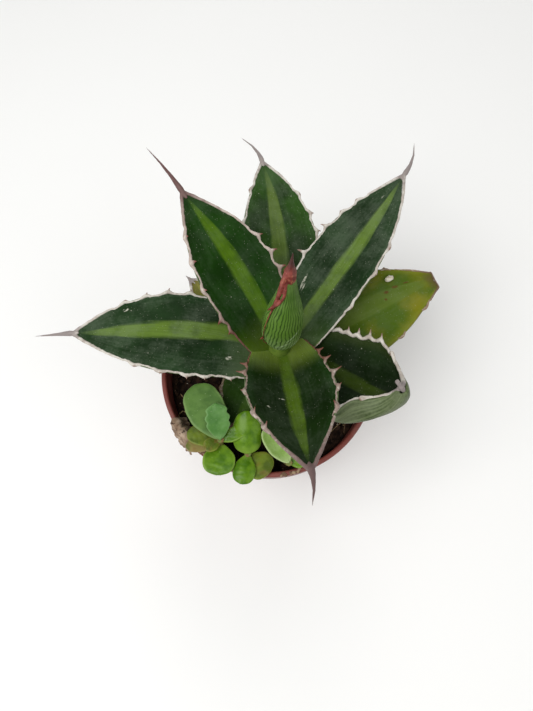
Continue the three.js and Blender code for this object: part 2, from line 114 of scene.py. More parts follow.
def grow(kind, piece, **settings):  # adds a modifier and applies it
    makeActive(piece)
    modifier = piece.modifiers.new(kind.lower(), kind)
    for name, value in settings.items():
        setattr(modifier, name, value)
    bpy.ops.object.modifier_apply(modifier=modifier.name)


def joinAll(pieces):
    makeActive(*pieces)
    bpy.ops.object.join()
    return bpy.context.object


def copyOf(piece, place):
    twin = piece.copy()
    twin.data = piece.data.copy()
    twin.matrix_world = place
    bpy.context.collection.objects.link(twin)
    return twin


def settle(piece):  # the place goes into the mesh
    makeActive(piece)
    bpy.ops.object.transform_apply(location=True, rotation=True, scale=True)


def smooth(piece, angle=180):
    makeActive(piece)
    if angle == 180:
        bpy.ops.object.shade_smooth()
    else:
        bpy.ops.object.shade_smooth_by_angle(angle=math.radians(angle))


def remove(piece):
    bpy.data.objects.remove(piece, do_unlink=True)


def dress(piece, *materials):
    for material in materials:
        piece.data.materials.append(material)


def finishPiece(piece, name, replaced=()):
    piece.name = name
    piece.data.name = name
    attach(piece, "root")
    if replaced:
        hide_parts(*replaced)


def between(low, high, share):
    return low + (high - low) * share


def limit(value):
    return min(1.0, max(0.0, value))


def ease(low, high, value):  # 0 below low, 1 above high, smooth in between
    share = limit((value - low) / (high - low))
    return share * share * (3 - 2 * share)


def headed(plan, slope=0.0):  # direction at these angles from +X and from level
    return Vector((math.cos(plan) * math.cos(slope), math.sin(plan) * math.cos(slope), math.sin(slope)))


def placing(spot, turn, tilt, size):  # mm and radians
    return (Matrix.Translation(spot * mm) @ Matrix.Rotation(turn, 4, "Z") @ Matrix.Rotation(tilt, 4, "Y")
            @ Matrix.Diagonal((*(size * mm), 1)))


def addLine(points, **settings):  # a polyline through the points
    data = bpy.data.curves.new("line", "CURVE")
    data.dimensions = "3D"
    for name, value in settings.items():
        setattr(data, name, value)
    spline = data.splines.new("POLY")
    spline.points.add(len(points) - 1)
    for point, place in zip(spline.points, points):
        point.co = (*place, 1)
    line = bpy.data.objects.new("line", data)
    bpy.context.collection.objects.link(line)
    return line, spline.points


def tube(points, radii):  # closed round tube with its own radius at each point
    line, knots = addLine(points, bevel_depth=1.0, bevel_resolution=2, use_fill_caps=True)
    for knot, radius in zip(knots, radii):
        knot.radius = radius
    makeActive(line)
    bpy.ops.object.convert(target="MESH")
    return bpy.context.object


def stackRings(rings, twist=0.0):  # extrudes the selection through (centre, size), turned each time
    for (here, size), (there, wanted) in zip(rings, rings[1:]):
        extrudeBy(there - here)
        scaleBy(wanted / size, wanted / size, 1, there)
        if twist:
            bpy.ops.transform.rotate(value=twist, orient_axis="Z", center_override=there)


def roundBody(rings, sides, middle=(0, 0)):  # upright body in edit mode; radius and height in mm
    spots = [(Vector((*middle, height)) * mm, radius) for radius, height in rings]
    body = addShape(bpy.ops.mesh.primitive_circle_add, vertices=sides, radius=rings[0][0] * mm, fill_type="NGON",
                    location=spots[0][0])
    settle(body)
    startEdit(body)
    stackRings(spots)
    faceOut()
    return body


def spinProfile(profile, steps, start=0, end=360):  # mm and degrees; stays in edit mode
    piece = addShape(bpy.ops.mesh.primitive_plane_add, size=1)
    startEdit(piece)
    bpy.ops.mesh.merge(type="CENTER")
    turn = math.radians(start)
    spots = [(radius * mm * math.cos(turn), radius * mm * math.sin(turn), height * mm)
             for radius, height in profile]
    moveBy(*spots[0])
    for here, there in zip(spots, spots[1:]):
        extrudeBy([after - before for before, after in zip(here, there)])
    selectAll()
    bpy.ops.mesh.spin(steps=steps, angle=math.radians(end - start), center=(0, 0, 0), axis=(0, 0, 1))
    return piece


# leaves are shaped flat along +X and then bent along a rib

def ribOf(leaf, place, steps):  # the leaf's roll is the tilt of its rib
    points = [place]
    for step in range(steps):
        share = (step + 0.5) / steps
        plan = math.radians(leaf["facing"] + leaf.get("turn", 0) * share)
        slope = math.radians(between(*leaf["rise"], share) + leaf.get("curl", 0) * share ** 3)
        points.append(points[-1] + leaf["length"] * mm / steps * headed(plan, slope))
    rib, knots = addLine(points, twist_mode="Z_UP", use_deform_bounds=False)
    for knot in knots:
        knot.tilt = math.radians(leaf.get("roll", 0))
    return rib


def lieOnSide(rib, leaf):  # a leaf that curls past upright is bent lying on its side
    facing = math.radians(leaf["facing"] + leaf["turn"] / 2)
    knots = rib.data.splines[0].points
    start = knots[0].co.to_3d()
    lay = Matrix((headed(facing), Vector((0, 0, 1)), headed(facing - math.pi / 2))).transposed().to_4x4()
    lay.translation = start
    for knot in knots:
        off = knot.co.to_3d() - start
        knot.co = (off.xy.length, off.z, 0, 1)
    rib.matrix_world = lay


def bendAlong(piece, rib, onSide=False):
    if onSide:
        piece.matrix_world = rib.matrix_world @ Matrix.Rotation(-math.pi / 2, 4, "X")
        bpy.context.view_layer.update()
    grow("CURVE", piece, object=rib, deform_axis="POS_X")
    settle(piece)


def placesAcross(form):  # -1 to 1, one for each column of the grid
    return [2 * column / form["columns"] - 1 for column in range(form["columns"] + 1)]


def startBlade(form, length, width, liftAt, materials, under=0.0):  # grid with lifted columns, in edit mode
    blade = addShape(bpy.ops.mesh.primitive_grid_add, x_subdivisions=form["rows"], y_subdivisions=form["columns"],
                     size=1, calc_uvs=True)
    dress(blade, *materials)
    startEdit(blade)
    scaleBy(length, width, 1)
    moveBy(length / 2 - under, 0, 0)
    for place in placesAcross(form):
        pick(blade, lambda co: abs(co.y - place * width / 2) < onLine)
        moveBy(0, 0, liftAt(place))
    return blade


def sizeRow(blade, x, size, side=0):  # side 1 or -1 takes one half of the row
    pick(blade, lambda co: abs(co.x - x) < onLine and side * co.y >= 0)
    scaleBy(1, size, size, (x, 0, 0))


def thicken(piece, most, thickAt, **settings):  # mm
    body = piece.vertex_groups.new(name="body")
    for vertex in piece.data.vertices:
        body.add([vertex.index], thickAt(vertex.co) / most, "REPLACE")
    grow("SOLIDIFY", piece, thickness=most * mm, vertex_group="body", thickness_vertex_group=0.0, **settings)


# node tools

def colour(code):  # "#rrggbb" to linear light
    parts = [int(code[i:i + 2], 16) / 255 for i in (1, 3, 5)]
    return (*[p / 12.92 if p <= 0.04045 else ((p + 0.055) / 1.055) ** 2.4 for p in parts], 1.0)


class Nodes:  # short ways to add nodes to one tree
    def __init__(self, tree):
        self.tree = tree
        self.known = {}  # sockets that every effect on this surface shares

    def plug(self, value, socket):
        if isinstance(value, bpy.types.NodeSocket):
            self.tree.links.new(value, socket)
        else:
            socket.default_value = value

    def add(self, kind, inputs=None, **settings):
        made = self.tree.nodes.new("ShaderNode" + kind)
        made.location = (180 * (len(self.tree.nodes) % 9), -220 * (len(self.tree.nodes) // 9))
        for name, value in settings.items():
            setattr(made, name, value)
        for name, value in (inputs or {}).items():
            self.plug(value, made.inputs[name])
        return made

    def maths(self, operation, *values):
        return self.add("Math", dict(enumerate(values)), operation=operation).outputs[0]

    def times(self, one, other):
        return self.maths("MULTIPLY", one, other)

    def timesPlus(self, one, other, more):
        return self.maths("MULTIPLY_ADD", one, other, more)

    def greater(self, one, other):
        return self.maths("MAXIMUM", one, other)

    def wander(self, value, noise, amount):
        return self.maths("ADD", value, self.timesPlus(noise, amount, -amount / 2))

    def fade(self, value, low, high, bottom=0.0, top=1.0):
        return self.add("MapRange", {0: value, 1: low, 2: high, 3: bottom, 4: top},
                        interpolation_type="SMOOTHSTEP").outputs[0]

    def spot(self, *parts):
        return self.add("CombineXYZ", dict(enumerate(parts))).outputs[0]

    def split(self, socket):
        return self.add("SeparateXYZ", {0: socket}).outputs

    def noise(self, scale, detail=3.0, roughness=0.55, at=None):
        return self.add("TexNoise", {"Vector": at or self.known["Place"], "Scale": scale, "Detail": detail,
                                     "Roughness": roughness}).outputs[0]

    def clouds(self, scale, detail, low, high, bottom=0.0, top=1.0):
        return self.fade(self.noise(scale, detail), low, high, bottom, top)

    def use(self, group, **inputs):  # gives the mask of a shared effect
        made = self.add("Group", node_tree=group)
        for socket in made.inputs:
            value = inputs.get(socket.name, self.known.get(socket.name))
            if value is not None:
                self.plug(value, socket)
        return made.outputs[0]


class Effect(Nodes):  # a node group that gives one mask
    def __init__(self, name, vectors=(), **numbers):
        super().__init__(bpy.data.node_groups.new(name, "ShaderNodeTree"))
        sockets = self.tree.interface
        for label in vectors:
            sockets.new_socket(label, in_out="INPUT", socket_type="NodeSocketVector")
        for label, value in numbers.items():
            sockets.new_socket(label, in_out="INPUT", socket_type="NodeSocketFloat").default_value = value
        sockets.new_socket("Mask", in_out="OUTPUT", socket_type="NodeSocketFloat")
        self.given = list(self.tree.nodes.new("NodeGroupInput").outputs)[:len(vectors) + len(numbers)]
        self.mask = self.tree.nodes.new("NodeGroupOutput").inputs["Mask"]

    def done(self, mask):
        self.plug(mask, self.mask)
        return self.tree


class Surface(Nodes):  # a material and the colour that it has so far
    def __init__(self, name, specular, **constants):
        self.material = bpy.data.materials.new(name)
        self.material.use_nodes = True
        super().__init__(self.material.node_tree)
        self.shader = self.tree.nodes["Principled BSDF"].inputs
        for label, value in {"Specular IOR Level": specular, **constants}.items():
            self.shader[label].default_value = value
        self.known["Place"] = self.add("TexCoord").outputs["Object"]

    def unrolled(self):
        around, high = self.split(self.add("UVMap", uv_map="UVMap").outputs[0])[:2]
        self.known.update(Along=around, Across=high)
        return around, high

    def onLeaf(self):  # share along the leaf, -1 to 1 across it, and how near to an edge
        along, share = self.unrolled()
        across = self.known["Across"] = self.timesPlus(share, 2.0, -1.0)
        return along, self.maths("ABSOLUTE", across)

    def base(self, share, one, other):
        self.tint = self.add("Mix", {0: share, 6: colour(one), 7: colour(other)}, data_type="RGBA").outputs[2]

    def coat(self, share, code):
        self.tint = self.add("Mix", {0: share, 6: self.tint, 7: colour(code)}, data_type="RGBA").outputs[2]

    def dots(self, scale, radius, share):
        return self.use(fineSpecks, Scale=scale, Radius=radius, Share=share)

    def stroke(self, at, off, lean, long, thick):
        return self.use(scarStroke, At=at, Off=off, Lean=lean, Long=long, Thick=thick)

    def done(self, bump=None, rough=None):  # bump: height, strength and distance in mm
        self.plug(self.tint, self.shader["Base Color"])
        if rough:
            self.plug(rough, self.shader["Roughness"])
        if bump:
            height, strength, distance = bump
            made = self.add("Bump", {"Height": height, "Strength": strength, "Distance": distance * mm})
            self.plug(made.outputs[0], self.shader["Normal"])
        return self.material


# shared surface effects

def makeWaxBloom():  # cloudy wax, streaked along the leaf
    wax = Effect("waxBloom", ["Place"], Along=0, Across=0, Seed=0, Cover=0.5)
    place, along, across, seed, cover = wax.given
    streaks = wax.noise(1.6, 5.0, 0.6, at=wax.spot(wax.times(along, 3.0), wax.times(across, 9.0), seed))
    both = wax.timesPlus(wax.noise(70.0, 4.0, 0.62, at=place), 0.6, wax.times(streaks, 0.22))
    both = wax.timesPlus(wax.noise(900.0, 3.0, 0.6, at=place), 0.22, both)
    return wax.done(wax.times(wax.fade(both, 0.42, 0.66), cover))


def makeFineSpecks():  # sparse round dots of a chosen size
    dots = Effect("fineSpecks", ["Place"], Scale=600, Radius=0.25, Share=0.2)
    place, scale, radius, share = dots.given
    cells = dots.add("TexVoronoi", {"Vector": place, "Scale": scale}).outputs
    draw = dots.add("SeparateColor", {0: cells["Color"]}).outputs[0]
    dot = dots.fade(cells["Distance"], radius, dots.times(radius, 0.55))
    return dots.done(dots.times(dots.maths("LESS_THAN", draw, share), dot))


def makeFibreLines():  # fine lines that run along a leaf
    lines = Effect("fibreLines", Along=0, Across=0, Count=60, Waver=0.1)
    along, across, count, waver = lines.given
    drift = lines.noise(1.0, 2.0, at=lines.spot(lines.times(along, 7.0), lines.times(across, 3.0)))
    moved = lines.timesPlus(drift, waver, across)
    place = lines.spot(lines.times(along, 2.5), lines.times(moved, count))
    return lines.done(lines.noise(1.0, 2.0, 0.5, at=place))


def makeBandMask():  # a soft-edged stripe across a leaf, its middle drifting along the length
    band = Effect("bandMask", Along=0, Across=0, RootMiddle=0, TipMiddle=0, HalfWidth=0.2, Soft=0.06)
    along, across, rootMiddle, tipMiddle, half, soft = band.given
    middle = band.add("MapRange", {0: along, 3: rootMiddle, 4: tipMiddle}).outputs[0]
    wobble = band.noise(1.0, 4.0, 0.6, at=band.spot(band.times(along, 6.0), band.times(across, 14.0)))
    off = band.maths("ABSOLUTE", band.maths("SUBTRACT", across, middle))
    ragged = band.timesPlus(band.maths("SUBTRACT", wobble, 0.5), 0.16, off)
    outer, inner = band.maths("ADD", half, soft), band.maths("SUBTRACT", half, soft)
    return band.done(band.fade(ragged, outer, inner))


def makeStroke():  # a short scratch or scar, placed by share along and across
    scar = Effect("scarStroke", Along=0, Across=0, At=0.5, Off=0.0, Lean=0.0, Long=0.05, Thick=0.01)
    along, across, at, off, lean, long, thick = scar.given
    x = scar.times(scar.maths("SUBTRACT", along, at), 2.4)  # a leaf is about 2.4 of its widths long
    y = scar.maths("SUBTRACT", across, off)
    cosine, sine = scar.maths("COSINE", lean), scar.maths("SINE", lean)
    ahead = scar.timesPlus(x, cosine, scar.times(y, sine))
    aside = scar.maths("SUBTRACT", scar.times(y, cosine), scar.times(x, sine))
    ahead, aside = scar.maths("DIVIDE", ahead, long), scar.maths("DIVIDE", aside, thick)
    far = scar.maths("SQRT", scar.timesPlus(ahead, ahead, scar.times(aside, aside)))
    return scar.done(scar.fade(far, 1.15, 0.6))


waxBloom = makeWaxBloom()
fineSpecks = makeFineSpecks()
fibreLines = makeFibreLines()
bandMask = makeBandMask()
scarStroke = makeStroke()


# camera, light and floor

photoView = {
    "cameraAt": (-0.73 * mm, -83.84 * mm, 341.58 * mm),
    "pitch": 20.0,  # degrees away from straight down
    "focalLength": 27.04,
    "sensor": 36.0,
}


def setCamera():
    data = bpy.data.cameras.new("camera")
    data.lens = photoView["focalLength"]
    data.sensor_width = photoView["sensor"]
    data.clip_start = 0.01
    camera = bpy.data.objects.new("camera", data)
    camera.location = photoView["cameraAt"]
    camera.rotation_euler = (math.radians(photoView["pitch"]), 0, 0)
    bpy.context.collection.objects.link(camera)
    bpy.context.scene.camera = camera


studio = {
    "skyStrength": 0.3,
    "softboxes": {  # place, size and power
        "keySoftbox": ((-0.42, -0.30, 0.95), 0.75, 9.0),
        "fillSoftbox": ((0.75, -0.35, 0.75), 0.9, 2.6),
        "backSoftbox": ((0.15, 0.85, 0.85), 0.7, 3.0),
    },
    "aimedAt": (0, 0, 0.1),
    "floorSize": 6.0,
}


def setStudio():
    world = bpy.data.worlds.new("softRoom")
    world.use_nodes = True
    sky = world.node_tree.nodes["Background"].inputs
    sky[0].default_value = (1, 1, 1, 1)
    sky[1].default_value = studio["skyStrength"]
    bpy.context.scene.world = world
    for name, (place, size, power) in studio["softboxes"].items():
        data = bpy.data.lights.new(name, "AREA")
        data.size = size
        data.energy = power
        light = bpy.data.objects.new(name, data)
        light.location = place
        light.rotation_euler = (Vector(studio["aimedAt"]) - Vector(place)).to_track_quat("-Z", "Y").to_euler()
        bpy.context.collection.objects.link(light)
    floor = addShape(bpy.ops.mesh.primitive_plane_add, size=studio["floorSize"])
    floor.name = "paleFloor"
    paint = Surface("floorPaint", 0.1, Roughness=0.9)
    paint.base(paint.noise(3.0), "#f6f6f4", "#f2f2f0")
    dress(floor, paint.done())
    bpy.context.scene.view_settings.view_transform = "Standard"


setCamera()
setStudio()
print("camera, light and floor")


# the agave's leaves, youngest first

crown = (5.6, 6.4)  # mm, a little off the pot's axis

bladeForm = {
    "rootRadius": 4.0,
    "widestAt": 0.43,
    "rootNarrowing": 0.3,
    "tip": 0.04,
    "channelPower": 1.4,
    "coreAtRoot": 6.5,
    "coreAtTip": 1.8,
    "edge": 0.9,
    "end": 0.965,
    "rows": 34,
    "columns": 18,
    "ribSteps": 96,
    "rollFrom": 0.7,
    "tuck": 0.45,  # mm that the blade runs in under its horn
    "jitter": 0.22,
}

# Angles in degrees, lengths in mm. Teeth: share of the length, outward reach, height.
# stripe: middle at the root and at the tip, and half width, as shares of the half leaf.
# under: how far a leaf runs in under the bud. leftCup: how much of the cup its left half has.
leaves = {
    "leaf_1": dict(
        facing=127, turn=-1, rise=(42, 16), length=81.5, width=39, roll=3.5, root=105, fold=15, spine=24,
        spineBend=5.5, stripe=(-0.12, -0.12, 0.19), finish="vivid", horn="reddish", under=5,
        left=((0.22, 1.2, 0.5), (0.3, 2, 0.6), (0.48, -1.6, 2), (0.63, -2.2, 2.4), (0.76, -1.4, 1.6)),
        right=((0.24, 1.5, 0.5), (0.36, 2.2, 0.8), (0.46, 2.4, 0.8), (0.57, 1.4, 0.5))),
    "leaf_2": dict(
        facing=277.5, turn=0.5, rise=(33, 49), length=82, width=42.5, roll=1, root=105, fold=24, spine=19,
        spineBend=-9, stripe=(0.06, 0.0, 0.16), finish="deep", horn="pinkish", under=6,
        left=((0.12, 2, 0.8), (0.22, 2.2, 1), (0.36, 3.4, 1.6), (0.5, 0.8, 1), (0.65, -1.6, 2.4)),
        right=((0.16, 2, 0.6), (0.24, 3, 0.5), (0.42, 0.8, 0.4), (0.61, -1.6, 2.2), (0.72, -1.8, 2.2))),
    "leaf_3": dict(
        facing=52, turn=4, rise=(27, -3), length=107, width=37, roll=-11, root=100, fold=8, spine=21,
        spineBend=16, stripe=(-0.02, -0.18, 0.19), finish="waxed", horn="pale", under=4,
        left=((0.26, 1.4, 0.5), (0.4, 4, 0.8), (0.56, 2.6, 0.6), (0.66, 0.9, 0.4), (0.75, 0.8, 0.4)),
        right=((0.3, 1, 0.4), (0.47, 1.2, 0.6), (0.6, 0.8, 0.5))),
    "leaf_4": dict(
        facing=174.5, turn=3.5, rise=(25, -16), length=98.5, width=42.5, root=98.5, fold=12, spine=20,
        stripe=(-0.33, 0.08, 0.2), finish="waxed", horn="pale",
        left=((0.2, 1.4, 0.5), (0.32, 1.4, 0.6), (0.4, 1.8, 0.5), (0.52, 1, 0.4), (0.64, 1, 0.4)),
        right=((0.3, 1.2, 0.5), (0.43, 1.6, 0.5), (0.53, 1.8, 0.5), (0.63, 1.2, 0.5), (0.73, 0.9, 0.4))),
    "leaf_5": dict(
        facing=329, turn=-2, rise=(14, 8), curl=125, length=80, width=50, root=95, fold=30, spine=4,
        spineEnd=0.7, spineThick=0.95, rolled=0.68, leftCup=(0.3, 0.05), longTeeth=0.5, rimLift=0.7,
        thickRim=1.25, stripe=(0.4, -0.15, 0.13), finish="shaded", horn="pale",
        left=((0.18, 1, 0.6), (0.24, 1.2, 0.8), (0.3, 2, 1.2), (0.37, 2.6, 1.6), (0.45, 3, 1.8),
              (0.55, 2.4, 1.6), (0.71, -1.6, 1.4)),
        right=((0.3, 1.2, 0.5), (0.45, 1.4, 0.8), (0.61, -2, 2.4), (0.78, 0.6, 0.8))),
    "leaf_6": dict(
        facing=85.5, turn=19, rise=(26, -9), length=107, width=42, roll=6, root=91.5, fold=15, spine=20,
        spineBend=20, stripe=(0.0, 0.0, 0.2), finish="brownish", horn="pale",
        left=((0.45, 1.2, 0.5), (0.6, 1.2, 0.5), (0.79, 0.7, 0.4)),
        right=((0.4, 1.6, 0.6), (0.54, 1.8, 0.5), (0.63, 1.8, 0.6), (0.74, 0.8, 0.4))),
    "leaf_7": dict(
        facing=238, rise=(14, 2), length=41, width=37, root=89, fold=12, spine=1.5,
        stripe=(0.0, 0.0, 0.16), finish="low", horn="brown",
        left=((0.35, 1, 0.3), (0.62, 1, 0.3)), right=((0.4, 1, 0.3), (0.66, 1, 0.3))),
    "leaf_8": dict(
        facing=25, turn=1, rise=(21, 0), length=84.5, width=44.5, roll=10, root=87, fold=12, spine=0,
        tip=0.22, thinRim=0.65, stripe=(0.12, 0.12, 0.24), finish="aged", horn="brown",
        left=((0.6, 1.2, 0.4), (0.75, 1.4, 0.6)), right=((0.5, 1, 0.4), (0.65, 1, 0.4), (0.86, 1, 1.2))),
    "leaf_9": dict(
        facing=138, rise=(24, -4), length=60, width=34, root=85, fold=10, spine=3, spineThick=0.55,
        stripe=(0.0, 0.0, 0.2), finish="yellowed", horn="pale",
        left=((0.5, 1.4, 0.5), (0.7, 1.2, 0.5)), right=((0.5, 1.4, 0.5), (0.7, 1.2, 0.5))),
}


def halfWidth(leaf, share):  # metres
    widest = bladeForm["widestAt"]
    tip = leaf.get("tip", bladeForm["tip"])
    beyond = (share - widest) / (1 - widest)
    inner = 1 - bladeForm["rootNarrowing"] * (1 - share / widest) ** 2
    outer = tip + (1 - tip) * math.cos(beyond * math.pi / 2)
    return leaf["width"] / 2 * mm * (inner if share < widest else outer)


def cupping(leaf, share, hand):  # how much a cupped leaf bulges there, and how far its margin rolls in
    rolled = leaf.get("rolled", 0)
    swell, turnIn = leaf.get("leftCup", (1, 1)) if hand > 0 else (1, 1)
    bulge = 1 + swell * rolled * 0.75 * ease(0.36, 0.64, share)
    return bulge, turnIn * rolled * ease(0.42, 0.75, share) * halfWidth(leaf, share)


def bladeReach(leaf, share):  # half the blade without its horn, which is wider near the spine
    horn = between(1.3, 2.5, ease(0.72, 0.98, share)) * leaf.get("thinRim", 1) * mm
    return max(halfWidth(leaf, share) - horn + bladeForm["tuck"] * mm, 0.3 * mm)


def shapeBlade(leaf, seed, face, underside):
    length, width = leaf["length"] * mm, leaf["width"] * mm
    fold = math.radians(leaf["fold"])
    rows = bladeForm["rows"]
    under = leaf.get("under", 0) * mm
    whole = length * (1.0 if "tip" in leaf else bladeForm["end"]) + under

    def liftAt(place):
        return width / 2 * math.sin(fold) * abs(place) ** bladeForm["channelPower"]

    blade = startBlade(bladeForm, whole, width * math.cos(fold), liftAt, (face, underside), under)
    for row in range(rows + 1):  # draw each row in to the leaf's outline
        x = whole * row / rows - under
        share = x / length
        reach = bladeReach(leaf, share)
        sizeRow(blade, x, reach / (width / 2))
        for hand in (1, -1):
            bulge = cupping(leaf, share, hand)[0]
            if bulge > 1:
                sizeRow(blade, x, bulge, hand)
        for place in placesAcross(bladeForm):
            bulge, rollIn = cupping(leaf, share, place)
            inward = rollIn * ease(bladeForm["rollFrom"], 1.0, abs(place))
            if inward > 0:
                y = place * reach * bulge * math.cos(fold)
                pick(blade, lambda co: abs(co.x - x) < onLine and abs(co.y - y) < onLine)
                moveBy(0, -math.copysign(inward, place), 0.3 * inward)
    pick(blade, lambda co: 0.1 < co.x / length < 0.93 and abs(co.y) < 0.8 * halfWidth(leaf, co.x / length))
    shake(bladeForm["jitter"], seed, normal=1.0)
    endEdit()

    def thickAt(co):
        share = co.x / length
        place = min(1.0, abs(co.y) / (halfWidth(leaf, share) * math.cos(fold)))
        core = between(bladeForm["coreAtRoot"], bladeForm["coreAtTip"], math.sqrt(max(share, 0)))
        return between(core, bladeForm["edge"], place * place)

    thicken(blade, bladeForm["coreAtRoot"], thickAt, offset=-1.0, material_offset=1, material_offset_rim=1)
    grow("SUBSURF", blade, levels=2, render_levels=2)
    smooth(blade)
    return blade


# the horny rims, their teeth and their spines

rimForm = {
    "start": 0.03,
    "end": 0.995,
    "thinRadius": 0.3,
    "radius": 0.62,
    "tipRadius": 0.85,
    "step": 0.9,
    "dip": 0.8,
    "swell": 0.55,
    "swellSpan": 3.4,
    "toothRoot": 1.75,
    "toothSlim": 0.62,
    "toothLonger": {"reddish": 0.9, "pinkish": 0.9, "pale": 0.2, "brown": -0.2},
    "spineRadius": 1.45,
    "spineTaper": ((-0.3, 0.4), (-0.12, 0.8), (0, 1), (0.12, 0.84), (0.3, 0.6), (0.6, 0.36), (1, 0.1)),
    "spineRoot": 16,
    "voxel": 0.28,
    "grain": (2.5, 0.12),  # size and depth
}

toothForm = {  # a unit tooth, hooked towards -X: place, height, and size against the ring below
    "rings": ((0, 0, 1), (0, 0.14, 0.7), (-0.05, 0.34, 0.66), (-0.17, 0.58, 0.68), (-0.35, 0.8, 0.6)),
    "point": (-0.2, 0, 0.2),
}


def shapeTooth():
    tooth = addShape(bpy.ops.mesh.primitive_circle_add, vertices=10, radius=1, fill_type="NGON")
    startEdit(tooth)
    size, rings = 1, []
    for x, z, shrink in toothForm["rings"]:
        size *= shrink
        rings.append((Vector((x, 0, z)), size))
    stackRings(rings)
    extrudeBy(toothForm["point"])
    bpy.ops.mesh.merge(type="CENTER")
    faceOut()
    endEdit()
    return tooth


def setTooth(tooth, base, ahead, up, wide, tall, slim):
    side = up.cross(ahead).normalized()
    turn = Matrix((ahead * wide, side * slim * wide, up * tall)).transposed().to_4x4()
    turn.translation = base
    return copyOf(tooth, turn)


def facePoint(leaf, share, reach, lift):  # point of the straight leaf, reach towards its left edge
    half = halfWidth(leaf, share)
    fold = math.radians(leaf["fold"])
    rise = half * math.sin(fold) * (abs(reach) / half) ** bladeForm["channelPower"]
    bulge, rollIn = cupping(leaf, share, reach)
    inward = rollIn * ease(bladeForm["rollFrom"], 1.0, abs(reach) / bladeReach(leaf, share))
    across = reach * math.cos(fold) * bulge - math.copysign(inward, reach)
    return Vector((share * leaf["length"] * mm, across, rise * bulge + 0.3 * inward + lift))


def shapeEdge(leaf, hand, teeth, draw):  # one wavy edge of horn
    length = leaf["length"]
    start = rimForm["start"] - leaf.get("under", 0) / length
    count = round(length * (1 - start) / rimForm["step"])
    bulk = leaf.get("thinRim", 1) * leaf.get("thickRim", 1)
    points, radii = [], []
    waver = 0.0
    for step in range(count + 1):
        share = between(start, rimForm["end"], step / count)
        swelling = max(ease(0, 1, 1 - abs(at - share) * length / rimForm["swellSpan"]) for at, out, up in teeth)
        waver = 0.75 * waver + 0.25 * draw.uniform(-0.5, 0.5)
        toothed = 1 if teeth[0][0] - 0.04 < share < teeth[-1][0] + 0.05 else 0.3
        wave = -rimForm["dip"] * toothed * (1 - swelling) + rimForm["swell"] * swelling + waver
        radius = between(rimForm["thinRadius"], rimForm["radius"], ease(0.0, 0.3, share))
        radius = between(radius, rimForm["tipRadius"], ease(0.75, 1.0, share))
        radius *= (1 + 0.5 * swelling + 0.12 * draw.uniform(-1, 1)) * bulk
        reach = max(halfWidth(leaf, share) - radius * mm + wave * mm, 0.1 * mm)
        lift = (0.1 * wave - 0.35 + leaf.get("rimLift", 0)) * mm
        points.append(facePoint(leaf, share, hand * reach, lift))
        radii.append(radius * mm)
    return tube(points, radii)


def placeTeeth(leaf, hand, teeth, tooth):
    made, tips = [], []
    longer = leaf.get("longTeeth", rimForm["toothLonger"][leaf["horn"]]) * mm
    for at, out, up in teeth:
        base = facePoint(leaf, at, hand * (halfWidth(leaf, at) - 0.7 * mm), -0.2 * mm)
        reach = Vector((0, hand * (out + 0.7) * mm, (up + 0.2) * mm))
        tall = reach.length + longer
        upward = reach.normalized()
        wide = min(rimForm["toothRoot"], 0.4 * tall / mm + 0.3) * mm
        made.append(setTooth(tooth, base, Vector((1, 0, 0)), upward, wide, tall, rimForm["toothSlim"]))
        tips.append((base + upward * tall + Vector((-0.55 * wide, 0, 0)), tall))
    return made, tips


def shapeSpine(leaf):
    length = leaf["length"] * mm
    spine = max(leaf["spine"], 1) * mm
    bend = math.radians(leaf.get("spineBend", 0))
    points, radii = [], []
    for share, size in rimForm["spineTaper"]:
        free = share > 0
        along = length + share * (spine if free else rimForm["spineRoot"] * mm)
        sideways = spine * share * math.tan(bend * share) if free else 0
        points.append(Vector((along, sideways, 0.1 * mm)))
        size = max(size, leaf.get("spineEnd", 0.1) if free else 0)
        radii.append(size * rimForm["spineRadius"] * leaf.get("spineThick", 1) * mm)
    return tube(points, radii)


def shapeBluntEnd(leaf):  # horn across the end of a leaf that has lost its spine
    count = 10
    share = 1 - 0.3 / leaf["length"]
    half = halfWidth(leaf, share) - 0.4 * mm
    turns = [math.pi * step / count for step in range(count + 1)]
    points = [facePoint(leaf, share, half * math.cos(turn), -0.4 * mm)
              + Vector((0.5 * mm * math.sin(turn), 0, 0)) for turn in turns]
    return tube(points, [0.45 * mm] * (count + 1))


def fuseHorn(parts, voxel, grain):  # mm
    horn = joinAll(parts)
    grow("REMESH", horn, mode="VOXEL", voxel_size=voxel * mm)
    texture = bpy.data.textures.new("grain", "CLOUDS")
    texture.noise_scale = grain[0] * mm
    grow("DISPLACE", horn, texture=texture, texture_coords="LOCAL", strength=grain[1] * mm, mid_level=0.5)
    grow("SMOOTH", horn, factor=0.5, iterations=2)
    smooth(horn)
    return horn


def tintHorn(rim, leaf, tips):  # red of the tooth tips, share of the spine, share along the leaf
    count = len(rim.data.vertices)
    places = np.zeros(count * 3, np.float32)
    rim.data.vertices.foreach_get("co", places)
    places = places.reshape(-1, 3)
    red = np.zeros(count, np.float32)
    for tip, tall in tips:
        far = np.linalg.norm(places - np.array(tip, np.float32), axis=1)
        red = np.maximum(red, np.clip(1.15 - far / (0.85 * tall), 0, 1))
    length = leaf["length"] * mm
    spread = 5 * mm  # the spine's colour starts this far before the tip
    spine = np.clip((places[:, 0] - length + spread) / (max(leaf["spine"], 1) * mm + spread), 0, 1)
    along = np.clip(places[:, 0] / length, 0, 1)
    values = np.stack([red, spine, along, np.ones(count, np.float32)], axis=1).astype(np.float32)
    tint = rim.data.color_attributes.new(name="hornTint", type="FLOAT_COLOR", domain="POINT")
    tint.data.foreach_set("color", values.ravel())


